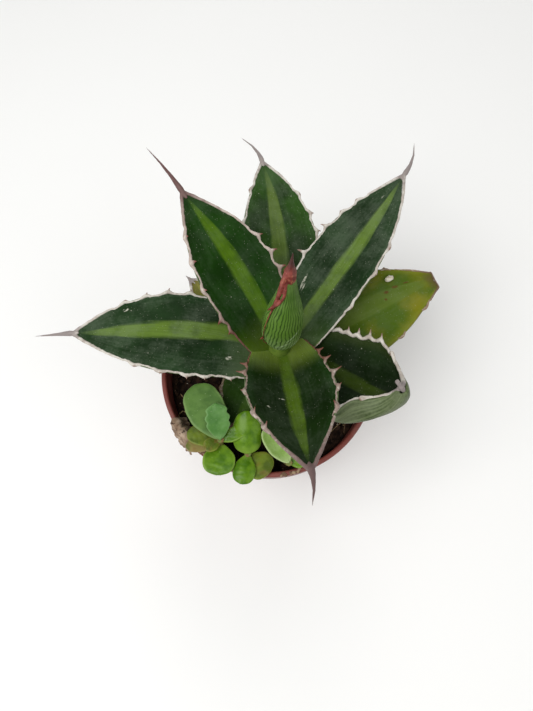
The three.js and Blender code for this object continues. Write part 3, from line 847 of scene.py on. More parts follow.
def shapeRim(leaf, tooth, seed):
    draw = random.Random(seed)
    parts, tips = [], []
    for hand, teeth in ((1, leaf["left"]), (-1, leaf["right"])):
        parts.append(shapeEdge(leaf, hand, teeth, draw))
        made, ends = placeTeeth(leaf, hand, teeth, tooth)
        parts += made
        tips += ends
    parts.append(shapeBluntEnd(leaf) if leaf["spine"] == 0 else shapeSpine(leaf))
    rim = fuseHorn(parts, rimForm["voxel"], rimForm["grain"])
    tintHorn(rim, leaf, tips)
    return rim


# finishes of the agave

bladeFinishes = {  # dark and deep tones, stripe, base, edge, then how much wax and how rough
    "vivid": ("#183a08", "#102b05", "#486710", "#556c1c", "#163208", 0.08, 0.48),
    "deep": ("#162a0b", "#0d1d06", "#4d6716", "#788e36", "#1a3810", 0.1, 0.48),
    "waxed": ("#20371b", "#162812", "#5b742c", "#4a6230", "#1f381c", 0.2, 0.52),
    "shaded": ("#172a0c", "#0d1c06", "#3a4d14", "#2c4216", "#333f18", 0.06, 0.48),
    "low": ("#2c4714", "#1f370c", "#3a5518", "#34501c", "#39501c", 0.06, 0.48),
    "brownish": ("#2c4b18", "#1a2e10", "#556a2e", "#27351a", "#2b4a1a", 0.14, 0.52),
    "aged": ("#757314", "#445b10", "#586b28", "#34440f", "#737a22", 0.1, 0.5),
    "yellowed": ("#6b6a26", "#7d7440", "#8a8a3c", "#4c4c1a", "#7a6430", 0.1, 0.55),
}
agedFinishes = ("aged", "yellowed")

bladeMarks = {  # scars and scrapes: share along, across, lean, long, thick
    "leaf_3": ((0.32, 0.6, 0.3, 0.1, 0.035), (0.3, 0.52, 0.2, 0.05, 0.02), (0.86, 0.3, 0.2, 0.03, 0.02)),
    "leaf_4": ((0.75, -0.74, 0.6, 0.05, 0.05), (0.22, 0.45, 1.2, 0.07, 0.04)),
    "leaf_2": ((0.47, -0.2, 1.5, 0.09, 0.012), (0.56, -0.55, 1.4, 0.05, 0.02)),
}

brownMarks = {  # stains, given in the same way
    "leaf_8": ((0.76, 0.36, 0.2, 0.05, 0.05), (0.7, 0.28, 0.2, 0.04, 0.05), (0.68, 0.1, 0.2, 0.02, 0.04),
               (0.83, 0.42, 0.2, 0.05, 0.03)),
    "leaf_6": ((0.3, 0.12, 0.2, 0.12, 0.1),),
}


def makeBladeMaterial(name, leaf):
    dark, deep, pale, base, edge, bloom, gloss = bladeFinishes[leaf["finish"]]
    skin = Surface(name + "Face", 0.05)
    along, offEdge = skin.onLeaf()
    skin.base(skin.clouds(45.0, 3.0, 0.35, 0.65), deep, dark)
    skin.coat(skin.fade(offEdge, 0.72, 1.0, 0.0, 0.7), edge)
    skin.coat(skin.fade(along, 0.3, 0.06, 0.0, 0.75), base)
    rootMiddle, tipMiddle, half = leaf["stripe"]
    stripe = skin.use(bandMask, RootMiddle=rootMiddle, TipMiddle=tipMiddle, HalfWidth=half, Soft=0.055)
    patchy = skin.clouds(120.0, 4.0, 0.25, 0.6, 0.55, 1.0)
    skin.coat(skin.times(stripe, skin.times(patchy, skin.fade(along, 1.0, 0.85))), pale)
    lines = skin.use(fibreLines, Count=34.0, Waver=0.06)
    skin.coat(skin.fade(lines, 0.4, 0.7, 0.0, 0.16), deep)
    wax = skin.use(waxBloom, Seed=leaf["facing"] * 0.1, Cover=bloom)
    skin.coat(wax, "#7f8c78")
    specks = skin.greater(skin.times(skin.dots(420.0, 0.15, 0.03), 0.45),
                          skin.times(skin.dots(1400.0, 0.24, 0.16), 0.35))
    for mark in bladeMarks.get(name, ()):
        specks = skin.greater(specks, skin.times(skin.stroke(*mark), skin.clouds(900.0, 3.0, 0.4, 0.6)))
    skin.coat(skin.times(specks, 0.8), "#c9c8b6")
    if leaf["finish"] in agedFinishes:
        addAgeing(skin, along, offEdge)
    for mark in brownMarks.get(name, ()):
        skin.coat(skin.times(skin.stroke(*mark), skin.clouds(600.0, 3.0, 0.35, 0.55, 0.3, 0.85)), "#5a3a20")
    rough = skin.timesPlus(skin.noise(300.0), 0.14, skin.timesPlus(wax, 0.6, gloss))
    height = skin.timesPlus(lines, 0.5, skin.times(skin.noise(1800.0), 0.25))
    height = skin.timesPlus(skin.noise(130.0, 2.0), 1.2, height)
    return skin.done((height, 0.35, 0.35), rough)


def addAgeing(skin, along, offEdge):  # dying margins and brown spots
    ragged = skin.noise(190.0, 4.0)
    skin.coat(skin.fade(skin.wander(offEdge, ragged, 0.3), 0.9, 1.04, 0.0, 0.7), "#6e5a30")
    skin.coat(skin.fade(skin.wander(along, ragged, 0.1), 0.94, 1.01, 0.0, 0.8), "#5c4a30")
    skin.coat(skin.times(skin.dots(210.0, 0.2, 0.12), 0.7), "#5a4322")


def makeUndersideMaterial(name, shade, line, pale):
    skin = Surface(name, 0.15)
    along, offEdge = skin.onLeaf()
    lines = skin.use(fibreLines, Count=26.0, Waver=0.05)
    skin.base(skin.fade(lines, 0.4, 0.6), line, shade)
    wax = skin.use(waxBloom, Seed=3.0, Cover=0.5)
    skin.coat(wax, pale)
    skin.coat(skin.fade(along, 0.3, 0.05), "#8fa060")
    return skin.done((lines, 0.5, 0.4), skin.fade(wax, 0.0, 1.0, 0.42, 0.7))


hornFinishes = {  # horn, spine, tooth tips, red root and how far it runs, and where the spine's colour starts
    "reddish": ("#b9aaa0", "#5e3f3c", "#6e3022", "#5e2c1e", 0.5, 0.74),
    "pinkish": ("#8f7b70", "#6a5452", "#6c3a2c", "#6a3a2a", 0.34, 0.66),
    "pale": ("#cbc6bc", "#8b817e", "#86685a", "#744a38", 0.12, 0.9),
    "brown": ("#8a745a", "#6a5440", "#7c6248", "#5e3c28", 0.2, 0.85),
}


def makeHornMaterial(kind):
    hornTone, spineTone, toothTone, redTone, redTo, spineFrom = hornFinishes[kind]
    horn = Surface(kind + "Horn", 0.35)
    tints = horn.add("Attribute", attribute_name="hornTint").outputs["Color"]
    red, spine, along = horn.add("SeparateColor", {0: tints}).outputs
    patches = horn.noise(260.0, 4.0)
    horn.base(horn.fade(patches, 0.35, 0.65, 0.0, 0.6), hornTone, "#938378")
    horn.coat(horn.clouds(700.0, 3.0, 0.5, 0.7, 0.0, 0.5), "#d3ccc0")
    horn.coat(horn.fade(horn.wander(along, patches, 0.3), redTo, 0.35 * redTo, 0.0, 0.9), redTone)
    horn.coat(horn.fade(horn.wander(along, patches, 0.16), spineFrom, 0.99, 0.0, 0.85), spineTone)
    horn.coat(horn.fade(spine, 0.0, 0.35, 0.0, 0.9), spineTone)
    horn.coat(horn.fade(red, 0.15, 0.75, 0.0, 0.9), toothTone)
    cracks = horn.noise(1500.0, 3.0)
    horn.coat(horn.fade(cracks, 0.62, 0.75, 0.0, 0.5), "#5a4538")
    return horn.done((cracks, 0.4, 0.15), horn.fade(patches, 0.2, 0.8, 0.45, 0.7))


def growLeaves(tooth):
    greenUnder = makeUndersideMaterial("leafUnderside", "#5d6b45", "#36451f", "#7f8969")
    agedUnder = makeUndersideMaterial("agedUnderside", "#6f7a3c", "#46561f", "#8f9468")
    horns = {kind: makeHornMaterial(kind) for kind in hornFinishes}
    for number, (name, leaf) in enumerate(leaves.items()):
        aged = leaf["finish"] in agedFinishes
        curled = "curl" in leaf
        foot = bladeForm["rootRadius"] * headed(math.radians(leaf["facing"])) + Vector((*crown, leaf["root"]))
        rib = ribOf(leaf, foot * mm, bladeForm["ribSteps"])
        if curled:
            lieOnSide(rib, leaf)
        blade = shapeBlade(leaf, 11 + number, makeBladeMaterial(name, leaf), agedUnder if aged else greenUnder)
        rim = shapeRim(leaf, tooth, 41 + number)
        dress(rim, horns[leaf["horn"]])
        bendAlong(blade, rib, curled)
        bendAlong(rim, rib, curled)
        finishPiece(blade, name + "_blade", [name])
        finishPiece(rim, name + "_horn", [name + "_rim"])
        remove(rib)
    print("nine agave leaves with their horn")


# the rolled bud in the middle

budForm = {
    "foot": (5.6, 6.4, 104.6), "tip": (8, 11, 172),  # mm
    "profile": ((0, 3.4), (0.06, 3.9), (0.1, 5.2), (0.14, 7), (0.18, 8.3), (0.23, 9), (0.3, 9.2), (0.36, 9.15),
                (0.42, 8.95), (0.48, 8.5), (0.54, 7.9), (0.6, 7.1), (0.66, 6.1), (0.72, 5.1), (0.78, 4.2),
                (0.84, 3.5), (0.89, 2.9), (0.94, 2.1), (0.98, 1.3), (1, 0.7)),
    "flatten": 0.86,
    "sides": 48,
    "levels": 44,
    "seamStep": 0.09,
    "seamFacing": 195,
    "seamTwist": 25,
    "teeth": ((0.25, 1.5), (0.66, 2.8)),
    "spine": ((-13, 0.9), (-9, 2), (-5.5, 2.7), (-2, 2.5), (1, 1.6), (4, 0.95), (7, 0.5), (10, 0.2)),
    "voxel": 0.26,
    "grain": (2, 0.25),
    "lines": 33,
    "scrapes": ((0.27, 0.36, 0.35, 0.16), (0.2, 0.26, 0.25, 0.2), (0.16, 0.19, 0.15, 0.18),
                (0.3, 0.24, 0.2, 0.12)),  # share round, share up, lean and length
}


def budAxis(share):
    return Vector(budForm["foot"]).lerp(Vector(budForm["tip"]), share) * mm


def budRadius(share):
    rows = budForm["profile"]
    for (low, r0), (high, r1) in zip(rows, rows[1:]):
        if share <= high:
            return between(r0, r1, (share - low) / (high - low)) * mm
    return rows[-1][1] * mm


def onBud(share, proud, off=0.0):  # a place on the seam of the bud
    angle = math.radians(budForm["seamFacing"] + budForm["seamTwist"] * share + off)
    radius = budRadius(share) + proud
    return budAxis(share) + Vector((radius * math.cos(angle), radius * budForm["flatten"] * math.sin(angle), 0))


def shapeBud():
    sides, levels = budForm["sides"], budForm["levels"]
    piece = addShape(bpy.ops.mesh.primitive_circle_add, vertices=sides, radius=1, fill_type="NGON", calc_uvs=True)
    startEdit(piece)
    for side in range(sides):  # the outer leaf winds outwards to its free edge
        angle = fullTurn * side / sides
        corner = headed(angle + math.pi / 2)
        pick(piece, lambda co: (co - corner).length < 10 * onLine)
        turnOn = (math.degrees(angle) + 90 - budForm["seamFacing"]) % 360 / 360
        size = 1 - budForm["seamStep"] * (1 - turnOn)
        scaleBy(size, size, 1)
    selectAll()
    scaleBy(budRadius(0), budRadius(0) * budForm["flatten"], 1)
    moveBy(*budAxis(0))
    shares = [level / levels for level in range(levels + 1)]
    twist = -math.radians(budForm["seamTwist"] / levels)
    stackRings([(budAxis(share), budRadius(share)) for share in shares], twist)
    faceOut()
    endEdit()
    unrollBud(piece)
    grow("SUBSURF", piece, levels=1, render_levels=1)
    smooth(piece)
    return piece


def unrollBud(piece):  # round the bud from its seam, and up it
    layer = piece.data.uv_layers.active
    foot, tip = budAxis(0), budAxis(1)
    for face in piece.data.polygons:
        turns = []
        for loop in face.loop_indices:
            co = piece.data.vertices[piece.data.loops[loop].vertex_index].co
            share = limit((co.z - foot.z) / (tip.z - foot.z))
            off = co - budAxis(share)
            angle = math.degrees(math.atan2(off.y / budForm["flatten"], off.x))
            seam = budForm["seamFacing"] + budForm["seamTwist"] * share
            turns.append([loop, ((angle - seam) % 360) / 360, share])
        if max(t[1] for t in turns) - min(t[1] for t in turns) > 0.5:
            for turn in turns:
                turn[1] += 1 if turn[1] < 0.5 else 0
        for loop, around, share in turns:
            layer.data[loop].uv = (around, share)


def shapeBudHorn(tooth):
    tip = budAxis(1)
    axis = (tip - budAxis(0)).normalized()
    shares = [n / 46 for n in range(47)]
    seam = tube([onBud(between(0.12, 0.985, share), 0.15 * mm, 1.5) for share in shares],
                [between(0.26, 1.3, ease(0.45, 0.95, share)) * mm for share in shares])
    shares = [n / 20 for n in range(21)]
    lap = tube([onBud(between(0.66, 0.985, share), 0.1 * mm, 34 * math.sin(math.pi * share))
                for share in shares], [0.62 * mm] * len(shares))
    parts = [seam, lap]
    for share, tall in budForm["teeth"]:
        outward = (onBud(share, 1) - budAxis(share)).normalized()
        wide = (0.45 * tall + 0.5) * mm
        parts.append(setTooth(tooth, onBud(share, -0.2 * mm), axis, outward, wide, (tall + 0.6) * mm, 0.6))
    parts.append(tube([tip + axis * along * mm for along, radius in budForm["spine"]],
                      [radius * mm for along, radius in budForm["spine"]]))
    return fuseHorn(parts, budForm["voxel"], budForm["grain"])


def makeYoungLeafMaterial():  # bright green, printed with dark wavy lines by the leaves it was pressed on
    skin = Surface("youngLeaf", 0.25)
    around, high = skin.unrolled()
    skin.base(skin.fade(high, 0.14, 0.42), "#86a566", "#5f8430")
    skin.coat(skin.fade(high, 0.5, 0.85), "#456a20")
    skin.coat(skin.clouds(90.0, 3.0, 0.4, 0.7, 0.0, 0.5), "#7c9c50")
    waver, wiggle, dashes = [
        skin.noise(1.0, 2.0, at=skin.spot(skin.times(around, wide), skin.times(high, tall)))
        for wide, tall in ((5.0, 5.0), (12.0, 9.0), (16.0, 85.0))]
    moved = skin.timesPlus(waver, 0.1, skin.timesPlus(wiggle, 0.016, around))
    strand = skin.maths("SINE", skin.times(moved, budForm["lines"] * fullTurn))
    strand = skin.timesPlus(wiggle, 1.1, strand)
    dark = skin.times(skin.fade(strand, 0.85, 1.4, 0.0, 0.8), skin.fade(high, 0.1, 0.3, 0.6, 1.0))
    skin.coat(dark, "#22400e")
    # the narrow neck at the bud's foot is painted near black: painted shade under the bud's overhanging belly
    skin.coat(skin.fade(high, 0.15, 0.09), "#141f0a")
    pale = skin.times(skin.fade(dashes, 0.6, 0.68), skin.fade(high, 0.4, 0.26))
    pale = skin.times(pale, skin.fade(around, 0.1, 0.2))
    for scrape in budForm["scrapes"]:
        broken = skin.fade(strand, 1.3, 0.6, 0.3, 1.0)
        pale = skin.greater(pale, skin.times(skin.stroke(*scrape, 0.014), broken))
    skin.coat(skin.times(pale, 0.8), "#b4cc98")
    height = skin.timesPlus(dark, -1.0, skin.times(pale, 0.5))
    return skin.done((height, 0.5, 0.4), skin.fade(strand, 0.4, 1.4, 0.42, 0.6))


def makeYoungHornMaterial():
    horn = Surface("youngHorn", 0.4)
    patches = horn.noise(260.0, 4.0)
    horn.base(horn.fade(patches, 0.35, 0.62), "#94483e", "#6e2c24")
    horn.coat(horn.clouds(420.0, 3.0, 0.56, 0.7, 0.0, 0.6), "#bb7f5c")
    high = horn.split(horn.known["Place"])[2]
    horn.coat(horn.fade(high, 171 * mm, 177 * mm, 0.0, 0.9), "#3a1816")  # the dark tip
    return horn.done((horn.noise(1200.0), 0.3, 0.15), horn.fade(patches, 0.2, 0.8, 0.35, 0.55))


def growBud(tooth):
    bud = shapeBud()
    dress(bud, makeYoungLeafMaterial())
    finishPiece(bud, "rolled_bud", ["bud"])
    horn = shapeBudHorn(tooth)
    dress(horn, makeYoungHornMaterial())
    finishPiece(horn, "bud_horn", ["bud_rim"])
    print("rolled bud with its red edge")


# the short stem, and the youngest leaves' bases round the foot of the bud

stemForm = {"bottom": 62, "top": 99, "bottomRadius": 8, "topRadius": 5, "scar": 0.93, "rings": 14, "sides": 28}
heartForm = {  # radius and height of each ring
    "rings": ((4.5, 95), (6.2, 98), (5.8, 101.5), (5.3, 105), (4.8, 108), (4.3, 110.5), (3.6, 112)),
    "sides": 48,
}


def growStem():
    rings = []
    for ring in range(stemForm["rings"] + 1):
        share = ring / stemForm["rings"]
        pinch = stemForm["scar"] if ring % 2 else 1
        radius = between(stemForm["bottomRadius"], stemForm["topRadius"], share) * pinch
        rings.append((radius, between(stemForm["bottom"], stemForm["top"], share)))
    stem = roundBody(rings, stemForm["sides"], crown)
    endEdit()
    smooth(stem, 50)
    bark = Surface("stemBark", 0.2, Roughness=0.7)
    patches = bark.noise(300.0, 4.0)
    bark.base(bark.fade(patches, 0.35, 0.65), "#3c4a24", "#5b5234")
    dress(stem, bark.done((patches, 0.4, 0.5)))
    finishPiece(stem, "crown_stem", ["agave_stem"])


def growHeart():
    heart = roundBody(heartForm["rings"], heartForm["sides"], crown)
    endEdit()
    grow("SUBSURF", heart, levels=1, render_levels=1)
    smooth(heart)
    skin = Surface("leafBase", 0.1, Roughness=0.5)
    skin.base(skin.clouds(160.0, 3.0, 0.35, 0.65), "#56702a", "#6f8636")
    dress(heart, skin.done((skin.noise(600.0), 0.2, 0.3)))
    finishPiece(heart, "leaf_bases")


# the nursery pot

potForm = {  # mm; radius and height
    "outside": ((0, 0), (35.8, 0), (37, 1.2), (50.2, 76), (51.4, 77), (51.8, 89.6), (52.5, 90.2), (52.5, 91.4),
                (51.9, 92), (50.7, 92)),
    "insideLip": (50.1, 91.4),
    "insideStep": (49, 77),
    "insideFoot": (35.8, 1.6),
    "steps": 120,
    "drainHoles": 6, "drainRadius": 4, "drainCircle": 23, "drillDepth": 8,
    "edgeRound": 0.35,
}


def insidePot(height):  # inner radius at that height, in mm
    foot, step, lip = potForm["insideFoot"], potForm["insideStep"], potForm["insideLip"]
    low, high = (foot, step) if height < step[1] else (step, lip)
    return between(low[0], high[0], (height - low[1]) / (high[1] - low[1]))


def makePotPlastic():
    shell = Surface("potPlastic", 0.4)
    x, y, high = shell.split(shell.known["Place"])
    shell.base(shell.clouds(60.0, 5.0, 0.3, 0.7), "#7a3d35", "#6c342d")
    dust = shell.times(shell.fade(shell.noise(110.0, 6.0, 0.7), 0.42, 0.8), 0.2)
    shell.coat(dust, "#a9877a")
    # surfaces inside the pot's wall line, below the lip, are painted darker: painted shade inside the pot
    far = shell.add("VectorMath", {0: shell.spot(x, y)}, operation="LENGTH").outputs["Value"]
    foot, lip = potForm["insideFoot"], potForm["insideLip"]
    wall = shell.timesPlus(high, (lip[0] - foot[0]) / (lip[1] - foot[1]), (foot[0] - 0.5) * mm)
    inside = shell.fade(shell.maths("SUBTRACT", wall, far), -0.4 * mm, 0.0)
    inside = shell.times(inside, shell.fade(high, 92.0 * mm, 90.6 * mm))
    shell.coat(shell.times(inside, 0.75), "#4a2420")
    return shell.done((shell.noise(500.0), 0.12, 0.3), shell.timesPlus(dust, 0.4, 0.42))


def buildPot():
    profile = (*potForm["outside"], potForm["insideLip"], potForm["insideStep"], potForm["insideFoot"],
               (0, potForm["insideFoot"][1]))
    pot = spinProfile(profile, potForm["steps"])
    faceOut(onLine)
    endEdit()
    drills = []
    for hole in range(potForm["drainHoles"]):
        angle = fullTurn * hole / potForm["drainHoles"]
        spot = (potForm["drainCircle"] * mm * math.cos(angle), potForm["drainCircle"] * mm * math.sin(angle), 0)
        drills.append(addShape(bpy.ops.mesh.primitive_cylinder_add, vertices=24, location=spot,
                               radius=potForm["drainRadius"] * mm, depth=potForm["drillDepth"] * mm))
    drill = joinAll(drills)
    settle(drill)
    grow("BOOLEAN", pot, operation="DIFFERENCE", solver="EXACT", object=drill)
    remove(drill)
    grow("BEVEL", pot, width=potForm["edgeRound"] * mm, segments=2, limit_method="ANGLE",
         angle_limit=math.radians(30))
    smooth(pot, 40)
    dress(pot, makePotPlastic())
    finishPiece(pot, "nursery_pot", ["pot"])
    print("pot")


# the potting soil with its crumbs, perlite and straws

soilForm = {"top": 80, "dome": 2.5, "rings": 22, "sides": 84, "clear": 0.3, "rough": 0.7, "litterTo": 48}  # mm

looseBits = {  # size in mm, lift in sizes, tilt in radians; then both colours, patch scale and roughness
    "soil_crumbs": dict(count=520, seed=3, size=(0.5, 1.7), lift=0.15, tilt=1.5,
                        look=("peatCrumb", "#0f0a07", "#3a281c", 400.0, 0.95)),
    "perlite_grains": dict(count=95, seed=5, size=(0.22, 0.6), lift=0.4, tilt=1.5,
                           look=("perlite", "#cfc6b4", "#a89a84", 700.0, 0.85)),
    "short_straws": dict(count=46, seed=None, size=(0.22, 0.3), lift=1.6, tilt=0.5,
                         look=("dryStraw", "#8d7754", "#5c4a34", 500.0, 0.8)),
}

curl = [(-41.7 + 2.6 * math.cos(0.9 * n), -22.4 + 3.4 * math.sin(0.9 * n), 82.2 + 0.35 * n) for n in range(7)]
rootPaths = (  # radius and given places, in mm
    (0.32, [(-44, -10, 82), (-40, -15, 83.6), (-41, -19, 83), *curl]),
    (0.24, [(-36, -8, 83), (-31, -12, 84.2), (-33, -17, 83.4)]),
    (0.22, [(30, -30, 82.4), (36, -25, 84.6), (40, -22, 83)]),
    (0.2, [(33, -18, 83.5), (38, -24, 84), (37, -31, 82.6)]),
    (0.22, [(-20, -14, 83.6), (-14, -19, 84.8), (-9, -17, 83.8)]),
)


def soilHeight(radius):  # mm, above the pot's base
    return soilForm["top"] + soilForm["dome"] * (1 - (radius / potForm["insideStep"][0]) ** 2)


def makeSoilMaterial():
    soil = Surface("darkSoil", 0.1, Roughness=0.95)
    soil.base(soil.clouds(300.0, 5.0, 0.35, 0.65), "#120c08", "#33241a")
    soil.coat(soil.times(soil.dots(700.0, 0.3, 0.07), 0.7), "#7b6a52")
    return soil.done((soil.noise(500.0, 6.0, 0.7), 0.9, 1.2))


def makePlainMaterial(name, one, other, scale, rough):
    plain = Surface(name, 0.2, Roughness=rough)
    plain.base(plain.clouds(scale, 4.0, 0.38, 0.62), one, other)
    return plain.done((plain.noise(3 * scale, 4.0), 0.5, 0.3))


def shapeSoilBody():
    clear, top, count = soilForm["clear"], soilForm["top"], soilForm["rings"]
    heights = (potForm["insideFoot"][1] + clear, potForm["insideStep"][1], top)
    rings = [(insidePot(height) - clear, height) for height in heights]
    edge = rings[-1][0]
    for ring in range(count):
        radius = edge * (1 - (ring + 1) / (count + 0.5))
        rings.append((radius, top + soilHeight(radius) - soilHeight(edge)))
    body = roundBody(rings, soilForm["sides"])
    pick(body, lambda co: co.z > (top - 0.1) * mm and co.xy.length < 0.98 * edge * mm)
    shake(soilForm["rough"], 7, uniform=0.3, normal=0.7)
    endEdit()
    smooth(body)
    return body


def scatter(model, kind, draw):  # small loose pieces lying on the soil
    parts = []
    for _ in range(kind["count"]):
        radius = soilForm["litterTo"] * math.sqrt(draw.random())
        outward = headed(draw.uniform(0, fullTurn))
        size = draw.uniform(*kind["size"])
        spot = radius * outward + Vector((0, 0, soilHeight(radius) + kind["lift"] * size))
        parts.append(copyOf(model, placing(
            spot, draw.uniform(0, fullTurn), draw.uniform(-kind["tilt"], kind["tilt"]),
            size * Vector((draw.uniform(0.8, 1.4), 1, draw.uniform(0.55, 0.9))))))
    remove(model)
    made = joinAll(parts)
    settle(made)
    return made


def shapeCrumb(seed, faces=1):
    crumb = addShape(bpy.ops.mesh.primitive_ico_sphere_add, subdivisions=faces, radius=1)
    startEdit(crumb)
    shake(250, seed)  # a quarter of its unit radius
    endEdit()
    return crumb


def shapeStraw():
    straw = addShape(bpy.ops.mesh.primitive_cylinder_add, vertices=5, radius=1, depth=2,
                     rotation=(0, math.pi / 2, 0))
    settle(straw)
    return straw


def layRoot(radius, places):
    path = [Vector(here).lerp(Vector(there), n / 6) * mm
            for here, there in zip(places, places[1:]) for n in range(6)]
    return tube(path, [radius * mm * (0.8 + 0.3 * math.sin(1.7 * n)) for n in range(len(path))])


def fillSoil():
    draw = random.Random(7)
    body = shapeSoilBody()
    dress(body, makeSoilMaterial())
    finishPiece(body, "soil_bed", ["soil"])
    for name, kind in looseBits.items():
        bits = scatter(shapeCrumb(kind["seed"]) if kind["seed"] else shapeStraw(), kind, draw)
        look = makePlainMaterial(*kind["look"])
        dress(bits, look)
        finishPiece(bits, name)
    roots = joinAll([layRoot(radius, places) for radius, places in rootPaths])
    dress(roots, look)  # the straw's colour
    smooth(roots)
    finishPiece(roots, "dry_roots")
    print("soil with crumbs, perlite and roots")


# the low companion succulent in front

leafletForm = {"rows": 20, "columns": 10, "ribSteps": 24, "thickness": 2.1, "edge": 0.8, "least": 0.06,
               "jitter": 0.12, "foot": 80, "stemRadius": 1.6}

# at: share of the stem's height; scallop: notches of the margin in mm
shoots = {
    "companion_west": {"foot": (-23.5, -38), "head": (-21.5, -37, 102), "leaves": (
        dict(at=1, facing=117, rise=(8, -2), length=28.5, width=18, cup=0.1, finish="blueGreen", scallop=0.25),
        dict(at=1, facing=98, rise=(34, 14), length=17, width=11.5, cup=0.15, finish="seaGreen", scallop=1.3),
        dict(at=0.85, facing=205, rise=(14, 8), length=8, width=6.5, cup=0.3, finish="yellowing"),
        dict(at=0.9, facing=24, rise=(12, 4), length=12, width=6.5, cup=0.3, finish="leafGreen"),
        dict(at=0.8, facing=165, rise=(10, -4), length=16, width=9, cup=0.2, finish="yellowing"),
        dict(at=0.72, facing=187, rise=(8, 0), length=16, width=7, cup=0.15, finish="withered"),
        dict(at=0.7, facing=268, rise=(12, -6), length=15, width=15, cup=0.12, finish="leafGreen"))},
    "companion_south": {"foot": (-8.5, -42.5), "head": (-9.3, -42.5, 97), "leaves": (
        dict(at=1, facing=92, rise=(36, 12), length=20, width=13.5, cup=-0.3, finish="leafGreen", bias=0.8,
             narrow=1),
        dict(at=0.9, facing=258, rise=(14, -10), length=14, width=10.5, cup=-0.15, finish="leafGreen"),
        dict(at=0.75, facing=318, rise=(10, 0), length=13, width=13.5, cup=0.1, finish="yellowing"))},
    "companion_east": {"foot": (8.5, -43.5), "head": (9.5, -46.5, 96), "leaves": (
        dict(at=1, facing=124, rise=(22, 8), length=19.5, width=11, cup=0.45, finish="pale"),
        dict(at=0.9, facing=98, rise=(18, 6), length=18, width=11, cup=0.2, finish="leafGreen"),
        dict(at=0.8, facing=15, rise=(10, 0), length=9, width=8, cup=0.2, finish="leafGreen"))},
}

leafletFinishes = {  # body, deeper tone, margin, and gloss
    "blueGreen": ("#587a38", "#44662a", "#7d985a", 0.42),
    "seaGreen": ("#56823e", "#42702e", "#7ea268", 0.42),
    "leafGreen": ("#5f8418", "#40660c", "#86a444", 0.3),
    "pale": ("#94ae6a", "#7a9a48", "#b4c48e", 0.26),
    "yellowing": ("#66781c", "#485a14", "#86883f", 0.42),
    "withered": ("#80743f", "#586226", "#978660", 0.6),
}


def spoon(leaflet, share):  # broad round end, narrow foot
    off = abs(2 * share ** leaflet.get("bias", 1.25) - 1)
    foot = between(leaflet.get("narrow", 0.72), 1.0, ease(0.0, 0.45, share))
    return max(1 - off ** 2.3, 0.0) ** 0.45 * foot


def shapeLeaflet(leaflet, place, finish, seed):
    rows, least = leafletForm["rows"], leafletForm["least"]
    length, width = leaflet["length"] * mm, leaflet["width"] * mm
    blade = startBlade(leafletForm, length, width,
                       lambda across: leaflet["cup"] * width / 2 * across ** 2, [finish])
    for row in range(rows + 1):
        share = row / rows
        notch = leaflet.get("scallop", 0) * mm * max(0.0, math.sin(share * 9 * math.pi))
        notch *= ease(0.25, 0.6, share)
        sizeRow(blade, share * length, max(spoon(leaflet, share) - 2 * notch / width, least))
    pick(blade, lambda co: abs(co.y) < 0.8 * width / 2 * spoon(leaflet, limit(co.x / length)))
    shake(leafletForm["jitter"], seed, normal=1)
    endEdit()

    def thickAt(co):
        across = min(1.0, abs(co.y) / (width / 2 * max(spoon(leaflet, limit(co.x / length)), least)))
        return between(leafletForm["thickness"], leafletForm["edge"], across ** 2)

    thicken(blade, leafletForm["thickness"], thickAt, offset=0.0)
    grow("SUBSURF", blade, levels=1, render_levels=1)
    rib = ribOf(leaflet, place * mm, leafletForm["ribSteps"])
    bendAlong(blade, rib)
    remove(rib)
    return blade


def makeLeafletMaterial(name):
    body, deep, margin, gloss = leafletFinishes[name]
    skin = Surface(name + "Leaflet", 0.2, Roughness=gloss)
    along, offEdge = skin.onLeaf()
    skin.base(skin.clouds(180.0, 4.0, 0.35, 0.65), deep, body)
    skin.coat(skin.fade(offEdge, 0.84, 1.0, 0.0, 0.6), margin)
    skin.coat(skin.fade(along, 0.3, 0.0, 0.0, 0.5), margin)
    skin.coat(skin.times(skin.dots(900.0, 0.2, 0.1), 0.25), "#c6cfae")
    if name in ("withered", "yellowing"):
        skin.coat(skin.clouds(260.0, 4.0, 0.52, 0.7, 0.0, 0.5), "#75592f")
    return skin.done((skin.noise(420.0), 0.25, 0.3))


def growCompanion():
    finishes = {name: makeLeafletMaterial(name) for name in leafletFinishes}
    stemSkin = makePlainMaterial("shootStem", "#6a7a3c", "#7c5e3c", 300.0, 0.6)
    for number, (name, shoot) in enumerate(shoots.items()):
        foot, head = Vector((*shoot["foot"], leafletForm["foot"])), Vector(shoot["head"])
        parts = [shapeLeaflet(leaflet, foot.lerp(head, leaflet["at"]), finishes[leaflet["finish"]],
                              90 + 10 * number + each) for each, leaflet in enumerate(shoot["leaves"])]
        path = [foot + Vector((0, 0, -6))] + [foot.lerp(head, n / 8) for n in range(9)]
        stem = tube([point * mm for point in path], [leafletForm["stemRadius"] * mm] * len(path))
        dress(stem, stemSkin)
        shootPiece = joinAll(parts + [stem])
        smooth(shootPiece, 60)
        finishPiece(shootPiece, name + "_shoot", [name])
    print("companion succulent")


# the dry leaf that hangs over the pot's lip, and bits of litter

dryForm = {
    "from": 227.5, "to": 246, "steps": 26, "thickness": 0.45, "crumple": 0.8,
    "fall": ((46.5, 84.4), (47.8, 86.5), (48.8, 89.2), (49.8, 92.3), (51, 93.3), (52.2, 93.3), (53.2, 92),
             (53.6, 89.6), (53.9, 86.8), (54.3, 83), (54.8, 79.5)),  # radius and height in mm
    "deepestTear": 11.0,
}

litterForm = {
    "chunkAt": (59.9, 42.3, 106.2), "chunkSize": (2.3, 1.5, 1.1),
    "heaps": ((234, 51.5, 12), (282, 51.3, 7), (222, 50.5, 6)),  # angle, radius and count
    "height": 92.25, "onLeaf": (223, 246), "leafHeight": 1.5,
}


